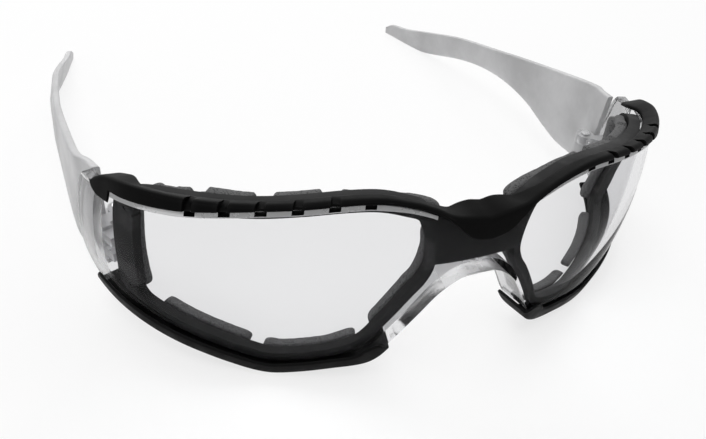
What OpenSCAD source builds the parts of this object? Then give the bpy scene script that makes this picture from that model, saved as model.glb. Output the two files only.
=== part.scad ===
// Foam-lined safety glasses: one wrap lens, a rubber brow guard, two bottom
// rims, a gasket frame with foam cushions, and two folding temples.
// X is the wearer's width, the front faces -Y, the temples run towards +Y.

/* [Lens shield] */
// Half width of the shield at its widest, outside face
half_w = 71; // [66:0.5:76]
// Depth from the front of the shield to its widest line
wrap_depth = 59.8; // [54:0.2:66]
// How square the wrap is: 2 is an ellipse, larger is squarer
wrap_power = 2.37; // [2.2:0.01:2.6]
// Radius of the slight bow from top to bottom
bow_r = 90; // [70:1:200]
// Height of the middle of the bow
mid_z = 23.1; // [20:0.1:26]
// Wall of the moulded lens
lens_t = 2.2; // [1.8:0.1:2.8]
// How far the moulded rib under the brow guard stands proud
rib_h = 0.5; // [0.2:0.1:0.8]
// Height of the rib that stays in view under the brow guard
rib_w = 1.5; // [1.2:0.1:2]

/* [Vent slots] */
// Number of vent slots over each eye
vent_count = 6; // [3:1:7]
// Distance from one slot to the next, along the lens
vent_pitch = 6.6; // [6:0.1:6.8]
// Length of one slot
vent_w = 2.2; // [1.6:0.1:3]
// Distance of the innermost slot from the middle of the lens
vent_start = 25.3; // [24:0.1:26]

/* [Nose] */
// Depth of the nose flange behind the front of the lens
flange_d = 8.3; // [6:0.1:9]
// Wall of the nose flange
flange_t = 1.5; // [1.2:0.1:1.8]

/* [Brow guard] */
// How far the brow guard stands in front of the lens
brow_proud = 1.5; // [1.2:0.1:2]
// Half length of the brow guard, along the lens
brow_reach = 83.5; // [80:0.5:85]
// How far the brow guard reaches back over the eyes
brow_d = 2; // [1.8:0.1:2.3]
// How far it reaches back over the nose
brow_nose_d = 4.5; // [3.5:0.1:5]
// How much further it reaches back over the wings
brow_end_d = 2.4; // [1.5:0.1:3]
// Height of the hook that turns down at each end
hook_h = 2.6; // [1.5:0.1:3]
// Length of the hook
hook_l = 6.8; // [5:0.1:8]
// Width of a vent notch in the lower edge
notch_w = 1.9; // [1.2:0.1:2.4]

/* [Bottom rims] */
// How far the rim stands in front of the lens
rim_proud = 0.8; // [0.6:0.1:1.2]
// Height of the rim's front lip above the lens edge
rim_lip = 2.6; // [1.8:0.1:3]
// Wall under the lens edge
rim_floor = 0.8; // [0.6:0.1:1.2]
// Where the rim ends on the wing, along the lens
rim_end = 86; // [84:0.5:88]
// Depth of the rim behind the front of the lens
rim_d = 5.1; // [4.8:0.1:5.4]

/* [Gasket frame] */
// Depth of the gasket frame's rear face behind the front of the lens
gasket_d = 5; // [4.6:0.1:5.4]
// Width of the rail over the eyes
rail_top = 3; // [2.6:0.1:4]
// Width of the rail under the eyes
rail_low = 2.4; // [2:0.1:2.8]
// Width of the rail beside the nose
rail_nose = 1.9; // [1.6:0.1:2.4]
// Width of the rail at the temples
rail_side = 6; // [4.5:0.1:6.6]
// Outer edge of the side rail, along the lens
side_s = 80; // [79:0.2:80.4]

/* [Foam] */
// Thickness of the foam
foam_t = 2.4; // [2:0.1:3.2]
// Height of the top cushions
foam_top_w = 2.8; // [2.4:0.1:3.4]
// Height of the lower cushions
foam_low_w = 2.4; // [2:0.1:2.8]
// Width of the nose cushions
foam_nose_w = 2; // [1.8:0.1:2.4]
// Width of the side cushions
foam_side_w = 3.4; // [2.8:0.1:4]
// Depth of the vent channels across the top cushions
foam_channel = 1; // [0.6:0.1:1.4]

/* [Hinges] */
// How far each hinge pin stands inside the wing's rear edge
hinge_in = 8.25; // [8:0.05:9]
// How far the hinge pin stands in front of the wing's rear edge
hinge_back = 2.55; // [2:0.05:3.2]
// Diameter of the hinge pin
pin_d = 1.8; // [1.4:0.1:2.2]
// Radius of the hinge ears
ear_r = 2.3; // [2:0.1:2.4]
// Thickness of one ear
ear_t = 2.4; // [2:0.1:3]
// Middle of the hinge
hinge_z = 17.5; // [16.5:0.1:18.5]
// Height of the temple's knuckle between the ears
knuckle_h = 4.6; // [4:0.1:5.4]

/* [Temples] */
// Thickness of the temple
temple_t = 1.8; // [1.6:0.1:2.2]
// Length of the temple from the hinge pin to its tip
temple_len = 112.8; // [106:0.2:120]
// Height of the temple at its front edge
temple_front_top = 33.6; // [32:0.2:35]

/* [Clearances] */
// Gap between parts that are pressed or bonded together
seat = 0.05; // [0.02:0.01:0.1]
// Gap between a bottom rim and the lens edge
rim_seat = 0.15; // [0.1:0.01:0.2]
// Gap between a foam cushion and the gasket frame
foam_gap = 0.25; // [0.15:0.05:0.4]
// Running gap between the knuckle and the ears
knuckle_gap = 0.1; // [0.05:0.05:0.2]
// Radial clearance of the hinge pin
pin_gap = 0.05; // [0.02:0.01:0.1]

/* [Hidden] */

clear = [0.88, 0.91, 0.93, 0.55];
black = [0.09, 0.09, 0.1];
foam_grey = [0.2, 0.2, 0.21];
smoke = [0.66, 0.67, 0.69, 0.85];
steel = [0.7, 0.71, 0.73];

// Height of the resting plane in the tables below
base_z = 0.9;
// Edge lines are given as [distance along the lens, height] for one half.
// The bottom edge climbs over the nose and runs low under the eye.
lens_bottom = [[0, 26.2], [4.2, 25.8], [8.6, 22.8], [11.7, 18.6], [17.2, 10], [19.4, 6.4],
  [22, 4.6], [29, 3.7], [37, 2.2], [41.5, 1.5], [45, 1.9], [50, 3.2], [56, 4.5], [62, 5.4],
  [68, 6.2], [74, 6.9], [80, 7.6], [86, 8.6], [90, 9.8], [95, 12]];
// The top edge, hidden in the brow guard
lens_top = [[0, 38.3], [8, 39.8], [12, 41.7], [16, 43.3], [23, 44.9], [30, 44.9], [37, 44.1],
  [45, 42.9], [52, 41.9], [61, 40.6], [68, 39.2], [74, 37.8], [80, 35.9], [84, 34.8], [95, 33]];
// The rear edge of the wing, as [height, distance along the lens]
wing_edge = [[7, 91], [10, 93.4], [14, 94.4], [20, 93.6], [28, 91.6], [32, 90.3], [34, 88.8],
  [36, 86.6]];
// The lower edge of the brow guard and the crease over it
brow_low = [[0, 34.9], [4, 35.9], [7, 38.4], [10, 40.9], [14, 42.9], [19, 44.3], [25, 45],
  [31, 44.7], [38, 43.8], [45, 42.8], [52, 41.4], [60, 39.5], [66, 38.3], [71, 37.4], [84, 35.5]];
brow_crease = [[0, 39.8], [8, 41.3], [12, 43.2], [16, 44.7], [23, 46.2], [30, 46.2], [37, 45.4],
  [45, 44.4], [52, 43.5], [61, 42.3], [68, 41.3], [74, 40.2], [80, 38.3], [84, 36.4]];
// Depth of the nose flange, as a share of its full depth
flange_run = [[0, 0.4], [4, 0.52], [7, 0.8], [9.5, 1], [16, 1], [18.5, 0.85], [20.5, 0.5],
  [22.5, 0.29], [95, 0.29]];
// Temple seen from the side, as [distance behind the hinge pin, height]
temple_top = [[-1.2, temple_front_top], [4.8, 32.6], [14.8, 30.4], [34.8, 25.4], [54.8, 20.4],
  [74.8, 15.6], [89.8, 10.9], [102.8, 6.8], [temple_len - 2.5, 5.2], [temple_len, 3.4]];
temple_low = [[-1.2, 9.8], [6.8, 9], [16.8, 8.2], [24.8, 9.4], [34.8, 11.6], [44.8, 12.3],
  [54.8, 11.9], [64.8, 10.2], [74.8, 7.4], [84.8, 4], [92.8, 1.5], [97.8, base_z],
  [temple_len, base_z]];
// Outside of the temple seen from above, at its top and its bottom edge, as
// [distance behind the hinge pin, distance inside the wing's rear edge]
temple_plan_top = [[-1.2, 3.45], [2.3, 2.65], [4.3, 2.05], [7.3, 0.75], [14.8, 0.25],
  [42.8, 0.25], [54.8, 0.95], [66.8, 1.95], [78.8, 3.35], [90.8, 5.55], [102.8, 8.25],
  [temple_len, 10.55]];
temple_plan_low = [[-1.2, 4.15], [2.3, 3.55], [4.3, 2.35], [7.3, 0.75], [14.8, -0.05],
  [42.8, -0.45], [54.8, 0.05], [66.8, 0.65], [78.8, 1.55], [90.8, 3.55], [96.8, 5.15],
  [102.8, 7.25], [temple_len, 10.35]];

brow_lip = rib_h + seat;
gasket_front = lens_t + 0.25;
foam_front = gasket_d + foam_gap;
foam_back = foam_front + foam_t;
wing_s = 93;
ear_gap_z = knuckle_h / 2 + knuckle_gap;
pin_bore = pin_d / 2 + pin_gap;

// Smooth curve through stations [x, value], flat beyond its ends
function span_at(T, x, i = 0) = (i >= len(T) - 2 || x < T[i + 1][0]) ? i : span_at(T, x, i + 1);
function slope_at(T, i) =
  let(a = T[max(i - 1, 0)], b = T[min(i + 1, len(T) - 1)])
  (b[1] - a[1]) / (b[0] - a[0]);
function curve(T, x) =
  let(
    i = span_at(T, x),
    w = T[i + 1][0] - T[i][0],
    u = min(max((x - T[i][0]) / w, 0), 1),
    m0 = slope_at(T, i) * w,
    m1 = slope_at(T, i + 1) * w)
  (2 * u * u * u - 3 * u * u + 1) * T[i][1] + (u * u * u - 2 * u * u + u) * m0
  + (3 * u * u - 2 * u * u * u) * T[i + 1][1] + (u * u * u - u * u) * m1;
function blend(a, b, x) = let(u = min(max((x - a) / (b - a), 0), 1)) u * u * (3 - 2 * u);

// The shield: a bowed superellipse, unrolled so that s is the distance along it
wrap_line = [for (t = [0:1:90])
  [half_w * pow(sin(t), 2 / wrap_power), wrap_depth * (1 - pow(cos(t), 2 / wrap_power))]];
wrap_table = [for (i = 0, l = 0; i <= 90;
  l = l + (i < 90 ? norm(wrap_line[i + 1] - wrap_line[i]) : 0), i = i + 1) [l, i]];
// The edge lines above are drawn for this half length and stretch with the wrap
table_len = 106.192;
stretch = wrap_table[90][0] / table_len;
function bow(z) = pow(z - mid_z, 2) / (2 * bow_r);
function on_shield(s, z, off) =
  let(t = lookup(abs(s) * stretch, wrap_table))
  [sign(s) * pow(sin(t), 2 / wrap_power) * (half_w - off - bow(z)),
   wrap_depth - pow(cos(t), 2 / wrap_power) * (wrap_depth - off - bow(z)),
   z];
wing_rear = on_shield(curve(wing_edge, hinge_z), hinge_z, 0);
pivot_x = wing_rear[0] - hinge_in;
pivot_y = wing_rear[1] - hinge_back;
front_y = bow(low_z(0) + 0.35) - brow_proud;
mid_y = (front_y + pivot_y + temple_len) / 2;

function bottom_z(s) = curve(lens_bottom, abs(s));
function top_z(s) = curve(lens_top, abs(s));
function low_z(s) = curve(brow_low, abs(s));
function crease_z(s) = curve(brow_crease, abs(s));
// Unit vector square to the bottom edge, pointing up into the lens
function edge_normal(s) =
  let(d = [0.6, bottom_z(abs(s) + 0.3) - bottom_z(abs(s) - 0.3)])
  [-d[1] * (s < 0 ? -1 : 1), d[0]] / norm(d);

// A shell between two grids of points, with cells left open where asked
function cell_open(open, i, j, nc, nr) =
  i < 0 || j < 0 || i > nc - 2 || j > nr - 2 || (len(open) > 0 && open[i][j]);
function two(a, b, c, d) = [[a, b, c], [a, c, d]];
module shell_grid(front, back, open = []) {
  nc = len(front);
  nr = len(front[0]);
  n = nc * nr;
  cells = [for (i = [0:nc - 2]) for (j = [0:nr - 2]) if (!cell_open(open, i, j, nc, nr)) [i, j]];
  faces = [for (c = cells)
    let(
      i = c[0],
      j = c[1],
      a = i * nr + j,
      b = a + nr,
      e = n + a,
      f = n + b)
    each concat(
      two(a, a + 1, b + 1, b),
      two(e, f, f + 1, e + 1),
      cell_open(open, i - 1, j, nc, nr) ? two(e, e + 1, a + 1, a) : [],
      cell_open(open, i + 1, j, nc, nr) ? two(b, b + 1, f + 1, f) : [],
      cell_open(open, i, j - 1, nc, nr) ? two(a, b, f, e) : [],
      cell_open(open, i, j + 1, nc, nr) ? two(a + 1, e + 1, f + 1, b + 1) : [])];
  polyhedron(
    points = concat([for (c = front) for (p = c) p], [for (c = back) for (p = c) p]),
    faces = faces);
}

// A skin through equal rings of points; its ends are closed by pairing points
// from both sides of the ring, so a ring may be L-shaped
module skin(rings, closed = false) {
  n = len(rings[0]);
  m = len(rings);
  sides = [for (k = [0:(closed ? m : m - 1) - 1]) for (i = [0:n - 1])
    let(a = k * n, b = ((k + 1) % m) * n, j = (i + 1) % n)
    each two(a + i, b + i, b + j, a + j)];
  caps = closed ? [] : [for (i = [0:n / 2 - 2])
    each concat(
      two(i, i + 1, n - 2 - i, n - 1 - i),
      [for (f = two(i, i + 1, n - 2 - i, n - 1 - i))
        [for (v = [2, 1, 0]) (m - 1) * n + f[v]]])];
  polyhedron(points = [for (r = rings) for (p = r) p], faces = concat(sides, caps));
}

// Left normal of a path at station i
function along(P, i, closed = false) =
  let(
    n = len(P),
    a = closed ? P[(i + n - 1) % n] : P[max(i - 1, 0)],
    b = closed ? P[(i + 1) % n] : P[min(i + 1, n - 1)])
  (b - a) / norm(b - a);
function left_of(d) = [-d[1], d[0]];

// Lens

vents = [for (k = [0:vent_count - 1]) vent_start + k * vent_pitch];
vent_sides = [for (v = vents) each [v - vent_w / 2, v + vent_w / 2]];
nose_stops = [0.01, 2.2, 4.2, 6, 7.6, 9, 10.4, 12, 13.8, 15.6, 17.4, 18.8, 20.2, 21.6];
wing_first = vent_sides[len(vent_sides) - 1];
wing_stops = [for (k = [1:9]) wing_first + (wing_s - wing_first) * k / 9];
half_stops = concat(nose_stops, vent_sides, wing_stops);
lens_stops = concat([for (k = [len(half_stops) - 1:-1:0]) -half_stops[k]], half_stops);
body_rows = 7;

// The wing's rear edge leans and is rounded, so the outer columns follow it
function to_wing(s, z) =
  s * (1 + (curve(wing_edge, z) / wing_s - 1) * pow(abs(s) / wing_s, 8));
function rib_at(s) = rib_h * blend(9, 15, abs(s)) * (1 - blend(80, 86, abs(s)));
function rib_low(s) = low_z(s) - rib_w;
// Top of the rib and of the vent slots, under the lens's top edge
function rib_top(s) = min(low_z(s) + 0.4, top_z(s) - 0.3);
function flange_at(s) = max(curve(flange_run, abs(s)) * flange_d, lens_t + 0.15);
function lens_front_column(s) =
  let(z0 = bottom_z(s), z1 = rib_low(s), r = rib_at(s))
  concat(
    [for (k = [1, 0.5]) on_shield(s, z0, flange_at(s) * k)],
    [for (k = [0:body_rows])
      let(z = z0 + (z1 - z0) * k / body_rows)
      on_shield(to_wing(s, z), z, 0)],
    [for (row = [[z1 + 0.25, r], [z1 + 0.4, r], [rib_top(s), r], [top_z(s), 0]])
      on_shield(to_wing(s, row[0]), row[0], -row[1])]);
function lens_back_column(s) =
  let(e = [s, bottom_z(s)] + edge_normal(s) * flange_t, z0 = e[1], z1 = rib_low(s))
  concat(
    [on_shield(e[0], z0, flange_at(s)), on_shield(e[0], z0, (flange_at(s) + lens_t) / 2)],
    [for (k = [0:body_rows])
      let(u = k / body_rows, z = z0 + (z1 - z0) * u)
      on_shield(to_wing(e[0] + (s - e[0]) * min(u * 3, 1), z), z, lens_t)],
    [for (z = [z1 + 0.25, z1 + 0.4, rib_top(s), top_z(s)])
      on_shield(to_wing(s, z), z, lens_t)]);
vent_row = body_rows + 4;
function is_vent(a, b) =
  len([for (v = vents) if (abs((abs(a) + abs(b)) / 2 - v) < 0.1 && abs(abs(a) - abs(b)) > 1) v]) > 0;
vent_cells = [for (i = [0:len(lens_stops) - 2])
  [for (j = [0:body_rows + 5]) j == vent_row && is_vent(lens_stops[i], lens_stops[i + 1])]];

module lens() {
  color(clear)
    shell_grid(
      [for (s = lens_stops) lens_front_column(s)],
      [for (s = lens_stops) lens_back_column(s)],
      vent_cells);
}

// Brow guard

notch_edge = 0.12;
fin_wall = 0.25;
fin_depth = 0.3;
notches = [for (k = [1:vent_count - 1]) vents[k]];
// Each notch deepens from nothing at its nose side to its full depth
function notch_cut(a) =
  max([for (v = notches)
    let(u = (a - v + notch_w / 2) / (notch_w - notch_edge))
    u > 0 && u < 1.001 ? u : 0]);
hook_s = brow_reach - hook_l;
brow_notch_stops = [for (v = notches)
  each [v - notch_w / 2, v, v + notch_w / 2 - notch_edge, v + notch_w / 2]];
brow_half = concat(
  [0.01, 2.5, 5, 7.5, 10, 12.5, 15, 17.5, 20, 22.5, 25, 27.5],
  brow_notch_stops,
  [for (k = [1:5]) notches[vent_count - 2] + (hook_s - notches[vent_count - 2]) * k / 6],
  [hook_s, hook_s + 0.4, hook_s + 2, hook_s + 4, hook_s + 5.4, hook_s + 6.3, brow_reach]);
brow_stops = concat([for (k = [len(brow_half) - 1:-1:0]) -brow_half[k]], brow_half);
function brow_ring(s) =
  let(
    a = abs(s),
    round_off = 1 - sqrt(1 - pow(min(max((a - brow_reach + 4) / 4.2, 0), 1), 2)),
    hook = hook_h * blend(hook_s, hook_s + 0.4, a),
    z0 = low_z(s) - hook * (1 - round_off) + round_off * 0.6,
    z2 = crease_z(s) - 1.3 * round_off,
    near_end = a - brow_reach,
    over_wing = blend(-13.5, -6.5, near_end) * (1 - blend(-3, 0, near_end)),
    d = brow_d + (brow_nose_d - brow_d) * (1 - blend(5, 15, a)) + brow_end_d * over_wing,
    rise = -1.3 + 1.9 * (1 - blend(2, 10, a)),
    z3 = max(z2 + rise, top_z(s) + 0.6),
    proud = brow_proud - 0.6 * blend(-11.5, -3.5, near_end),
    zt = top_z(s) + seat,
    cut = notch_cut(a),
    f = proud + (brow_lip + fin_wall - proud) * cut,
    fin_back = fin_depth + proud - 0.6,
    fin_z = z2 + (z3 - z2) * fin_back / (d - 0.5 + proud - 0.6))
  [for (p = [
    [z0 + 0.35, -f], [z0 + 0.8, -f], [z2 - 0.5 + (zt + 0.25 - z2 + 0.5) * cut, -f],
    [z2 + (fin_z - z2) * cut, -proud + 0.6 + fin_back * cut], [z3, d - 0.5],
    [z3 - 0.4, d],
    [zt, d], [zt, d - 0.5], [zt, -brow_lip + 0.3], [zt - 0.2, -brow_lip],
    [z0 + 0.5, -brow_lip], [z0, -brow_lip - 0.15]])
    on_shield(s, p[0], p[1])];

module brow_guard() {
  color(black)
    skin([for (k = [len(brow_stops) - 1:-1:0]) brow_ring(brow_stops[k])]);
}

// Bottom rims

rim_nose_s = 17.8;
rim_stops = [for (k = [0:36]) rim_nose_s + (rim_end - rim_nose_s) * pow(k / 36, 1.25)];
function rim_ring(s) =
  let(
    n = edge_normal(s),
    q = [s, bottom_z(s)],
    end = min(min(s - rim_nose_s, rim_end - s) / 2.5, 1),
    lip = rim_lip * (0.35 + 0.65 * sqrt(max(1 - pow(1 - end, 2), 0))) * (0.75 + 0.25 * blend(18, 22, s)),
    d = max(rim_d, flange_at(s) + 0.3),
    h = -(rim_seat + rim_floor))
  [for (p = [
    [lip, -rim_proud + 0.4], [lip - 0.4, -rim_proud], [h + 0.5, -rim_proud],
    [h, -rim_proud + 0.5], [h, d / 2], [h, d],
    [-rim_seat, d], [-rim_seat, d / 2], [-rim_seat, 0.2], [0.1, -rim_seat],
    [lip - 0.4, -rim_seat], [lip, -rim_seat - 0.2]])
    let(w = q + n * p[0])
    on_shield(w[0], max(w[1], base_z), p[1])];
module lower_rim() {
  color(black)
    skin([for (s = rim_stops) rim_ring(s)]);
}
module lower_rim_right() {
  lower_rim();
}
module lower_rim_left() {
  mirror([1, 0, 0]) lower_rim();
}

// Gasket frame: a ring round each eye, joined over the nose

rail_drop = 0.7;
// Clear flange left in view beside the nose wall of the ring
nose_gap = 1.2;
function nose_face(s) = [s, bottom_z(s)] + edge_normal(s) * (flange_t + nose_gap);
ring_corners = concat(
  [for (s = [9, 11.2, 13.8, 16.4, 18.6]) nose_face(s)],
  [[22.8, bottom_z(22.8) + 2.3], [26, bottom_z(26) + 0.9]],
  [for (s = [31, 37, 43, 49, 56, 63, 70]) [s, bottom_z(s) + seat]],
  [[76.8, bottom_z(76.8) + 0.4], [side_s, bottom_z(side_s) + 3]],
  [for (z = [17, 23, 28]) [side_s, z]],
  [[side_s - 0.8, 33], [side_s - 4, top_z(side_s - 4) - 1.4]],
  [for (s = [70, 62, 54, 46, 38, 30, 23, 17]) [s, top_z(s) - rail_drop]],
  [[12.3, top_z(12.3) - 1], [10, 35.5], [9.6, 28.4]]);
corner_n = len(ring_corners);
// Closed curve through the corners, with four stations from each to the next
function ring_point(i, u) =
  let(
    p0 = ring_corners[(i + corner_n - 1) % corner_n],
    p1 = ring_corners[i],
    p2 = ring_corners[(i + 1) % corner_n],
    p3 = ring_corners[(i + 2) % corner_n],
    m1 = (p2 - p0) / 2,
    m2 = (p3 - p1) / 2)
  (2 * u * u * u - 3 * u * u + 1) * p1 + (u * u * u - 2 * u * u + u) * m1
  + (3 * u * u - 2 * u * u * u) * p2 + (u * u * u - u * u) * m2;
ring_path = [for (i = [0:corner_n - 1]) for (u = [0, 0.5]) ring_point(i, u)];
function rail_width(p) =
  let(
    side = blend(side_s - 7, side_s - 1.5, p[0]),
    nose = 1 - blend(19, 27, p[0]),
    high = blend(12, 34, p[1]),
    across = rail_low + (rail_top - rail_low) * high,
    outer = across + (rail_side - across) * side)
  outer + (rail_nose + (rail_top - rail_nose) * blend(28, 40, p[1]) - outer) * nose;
function ring_section(k) =
  let(p = ring_path[k], n = left_of(along(ring_path, k, true)), w = rail_width(p))
  [for (c = [[0, gasket_front], [0, gasket_d], [w * 0.5, gasket_d], [w, gasket_d - 0.3],
    [w, gasket_front + 0.3], [w * 0.5, gasket_front]])
    on_shield(p[0] + n[0] * c[0], p[1] + n[1] * c[0], c[1])];
// A bridge of even columns joins the nose walls of the two rings
ring_n = len(ring_path);
side_n = 6;
bridge_from = 2 * (corner_n - 3);
bridge_n = 4;
bridge_cols = 10;
function bridge_low(s) = bottom_z(0) + flange_t + 0.4 + 0.3 * pow(s / 9.6, 2);
function bridge_high(s) = top_z(s) - 0.5;
function bridge_point(c, q, off) =
  let(
    p = ring_path[(bridge_from + q) % ring_n],
    w = (p[1] - bridge_low(p[0])) / (bridge_high(p[0]) - bridge_low(p[0])),
    s = c * p[0])
  on_shield(s, bridge_low(s) + (bridge_high(s) - bridge_low(s)) * w, off);
// Index of a bridge point: its first and last columns are points of the rings
function bridge_at(j, q, back) =
  let(k = ((bridge_from + q) % ring_n) * side_n + back)
  j == 0 ? k
  : j == bridge_cols ? ring_n * side_n + k
  : 2 * ring_n * side_n + ((j - 1) * (bridge_n + 1) + q) * 2 + back;
ring_points = [for (k = [0:ring_n - 1]) each ring_section(k)];
ring_faces = [for (k = [0:ring_n - 1]) for (i = [0:side_n - 1])
  if (i > 0 || k < bridge_from || k >= bridge_from + bridge_n)
    let(a = k * side_n, b = ((k + 1) % ring_n) * side_n, j = (i + 1) % side_n)
    each two(a + i, b + i, b + j, a + j)];
left_faces = [for (f = ring_faces) [for (v = [2, 1, 0]) f[v] + ring_n * side_n]];
bridge_points = [for (j = [1:bridge_cols - 1]) for (q = [0:bridge_n])
  each [for (off = [gasket_front, gasket_d]) bridge_point(1 - 2 * j / bridge_cols, q, off)]];
bridge_faces = [for (j = [0:bridge_cols - 1]) each concat(
  [for (q = [0:bridge_n - 1]) each concat(
    two(bridge_at(j, q, 0), bridge_at(j, q + 1, 0),
      bridge_at(j + 1, q + 1, 0), bridge_at(j + 1, q, 0)),
    two(bridge_at(j, q, 1), bridge_at(j + 1, q, 1),
      bridge_at(j + 1, q + 1, 1), bridge_at(j, q + 1, 1)))],
  two(bridge_at(j, 0, 0), bridge_at(j + 1, 0, 0), bridge_at(j + 1, 0, 1), bridge_at(j, 0, 1)),
  two(bridge_at(j + 1, bridge_n, 0), bridge_at(j, bridge_n, 0),
    bridge_at(j, bridge_n, 1), bridge_at(j + 1, bridge_n, 1)))];
module gasket_frame() {
  color(black)
    polyhedron(
      points = concat(ring_points, [for (p = ring_points) [-p[0], p[1], p[2]]], bridge_points),
      faces = concat(ring_faces, left_faces, bridge_faces));
}

// Foam cushions: crowned strips with rounded sides and ends

foam_sides = 10;
foam_shape = [for (k = [foam_sides - 1:-1:0])
  let(a = 360 * (k + 0.5) / foam_sides)
  [sign(cos(a)) * pow(abs(cos(a)), 0.6), sign(sin(a)) * pow(abs(sin(a)), 0.7)]];
end_round = 2;
function end_scale(d) =
  d >= end_round ? 1 : 0.45 + 0.55 * sqrt(1 - pow(1 - d / end_round, 2));
function lengths(P) =
  [for (i = 0, l = 0; i < len(P);
    l = l + (i < len(P) - 1 ? norm(P[i + 1] - P[i]) : 0), i = i + 1) l];
// Stations crowd together at both ends, where the cushion is rounded
function stations(a, b, n) =
  [for (k = [0:n]) let(u = k / n) a + (b - a) * (u - 0.09 * sin(360 * u))];
module cushion(path, width, cut) {
  run = lengths(path);
  total = run[len(run) - 1];
  skin([for (i = [0:len(path) - 1])
    let(
      n = left_of(along(path, i)),
      k = end_scale(min(run[i], total - run[i])),
      lowered = len(cut) > 0 ? cut[i] : 0)
    [for (c = foam_shape)
      let(
        w = c[0] * width / 2 * k - (c[0] > 0 ? lowered : 0),
        q = path[i] + n * w,
        depth = (foam_back - foam_front) * (0.55 + 0.45 * k))
      on_shield(q[0], q[1], foam_front + depth * (0.5 + 0.5 * c[1]))]]);
}
// Top cushion, with a shallow channel behind each gap between the vents
top_from = 8.6;
top_to = 73;
function top_drop(s) = 2.1 - 0.5 * blend(47, 60, s) - 1.5 * (1 - blend(8, 22, s));
channels = [33, 46.8, 61, 68.5];
function channel_at(s) =
  max([for (c = channels) foam_channel * (1 - blend(1.5, 2.4, abs(s - c)))]);
top_s = [for (k = [0:46]) top_from + (top_to - top_from) * k / 46];
module foam_top() {
  color(foam_grey)
    cushion(
      [for (s = top_s) [s, top_z(s) - top_drop(s) - foam_top_w / 2]],
      foam_top_w,
      [for (s = top_s) channel_at(s)]);
}
module foam_top_right() {
  foam_top();
}
module foam_top_left() {
  mirror([1, 0, 0]) foam_top();
}
// Side cushion
side_low_z = 10.5;
side_high_z = 33.4;
module foam_side() {
  color(foam_grey)
    cushion(
      [for (z = stations(side_high_z, side_low_z, 14))
        [side_s - 0.3 - foam_side_w / 2 - 0.003 * pow(z - 21, 2), z]],
      foam_side_w, []);
}
module foam_side_right() {
  foam_side();
}
module foam_side_left() {
  mirror([1, 0, 0]) foam_side();
}
// Lower cushions, apart from each other by a drain gap
// and climbing with the rail towards the nose
function low_rise(s) = 0.75 + 2 * (1 - blend(23, 31, s));
low_outer = [48.4, 70.5];
low_inner = [23.6, 45.3];
module foam_lower(s0, s1) {
  color(foam_grey)
    cushion([for (s = stations(s0, s1, 14)) [s, bottom_z(s) + low_rise(s)]], foam_low_w, []);
}
module foam_lower_outer_right() {
  foam_lower(low_outer[0], low_outer[1]);
}
module foam_lower_outer_left() {
  mirror([1, 0, 0]) foam_lower(low_outer[0], low_outer[1]);
}
module foam_lower_inner_right() {
  foam_lower(low_inner[0], low_inner[1]);
}
module foam_lower_inner_left() {
  mirror([1, 0, 0]) foam_lower(low_inner[0], low_inner[1]);
}
// Nose cushion, along the nose rail
nose_reach = flange_t + nose_gap + foam_nose_w / 2;
nose_path = concat(
  [[11.4, 34.5], [10.8, 30.2]],
  [for (s = [9.2, 11, 13, 15.2, 17.6]) [s, bottom_z(s)] + edge_normal(s) * nose_reach]);
module foam_nose() {
  color(foam_grey)
    cushion(
      [for (i = [0:len(nose_path) - 2]) for (u = [0, 0.5])
        nose_path[i] + (nose_path[i + 1] - nose_path[i]) * u],
      foam_nose_w, []);
}
module foam_nose_right() {
  foam_nose();
}
module foam_nose_left() {
  mirror([1, 0, 0]) foam_nose();
}

// Hinge blocks: a clear plate on the wing with two fingers and two ears

block_t = 1.9;
finger_end = 84.2;
block_stops = [81, 82.6, finger_end, 86.4, 88.8];
finger_z = [15.1, 17.3, 19.1, 21.4];
block_rows = concat([hinge_z - ear_gap_z - ear_t], finger_z, [hinge_z + ear_gap_z + ear_t]);
block_open = [for (i = [0:len(block_stops) - 2])
  [for (j = [0:len(block_rows) - 2]) block_stops[i + 1] <= finger_end && j % 2 == 0]];
function block_grid(off) = [for (s = block_stops) [for (z = block_rows) on_shield(s, z, off)]];
block_in = lens_t + seat + block_t;
bore_h = 2 * (ear_gap_z + ear_t) + 4;
module bore() {
  translate([pivot_x, pivot_y, hinge_z - bore_h / 2]) cylinder(r = pin_bore, h = bore_h, $fn = 48);
}
ear_root = [on_shield(84.8, hinge_z, block_in - 1), on_shield(88.6, hinge_z, block_in - 1)];
module ear(z) {
  translate([0, 0, z]) {
    translate([pivot_x, pivot_y, 0]) cylinder(r = ear_r, h = ear_t, $fn = 48);
    linear_extrude(height = ear_t)
      polygon([
        [ear_root[0][0], ear_root[0][1]],
        [ear_root[1][0] - 0.4, ear_root[1][1]],
        [pivot_x + ear_r * 0.8, pivot_y - ear_r * 0.5],
        [pivot_x, pivot_y],
        [pivot_x - ear_r * 0.8, pivot_y - ear_r * 0.5]]);
  }
}
module hinge_block() {
  color(clear)
    difference() {
      union() {
        shell_grid(block_grid(lens_t + 2 * seat), block_grid(block_in), block_open);
        ear(hinge_z - ear_gap_z - ear_t);
        ear(hinge_z + ear_gap_z);
      }
      bore();
    }
}
module hinge_block_right() {
  hinge_block();
}
module hinge_block_left() {
  mirror([1, 0, 0]) hinge_block();
}

// Hinge pins

pin_over = 0.3;
pin_head_h = 0.5;
module hinge_pin() {
  reach = ear_gap_z + ear_t;
  color(steel)
    translate([pivot_x, pivot_y, 0]) {
      translate([0, 0, hinge_z - reach - pin_over])
        cylinder(d = pin_d, h = 2 * reach + pin_over + 0.4, $fn = 48);
      translate([0, 0, hinge_z + reach + seat])
        cylinder(d = pin_d + 1, h = pin_head_h, $fn = 48);
    }
}
module hinge_pin_right() {
  hinge_pin();
}
module hinge_pin_left() {
  mirror([1, 0, 0]) hinge_pin();
}

// Temples

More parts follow.
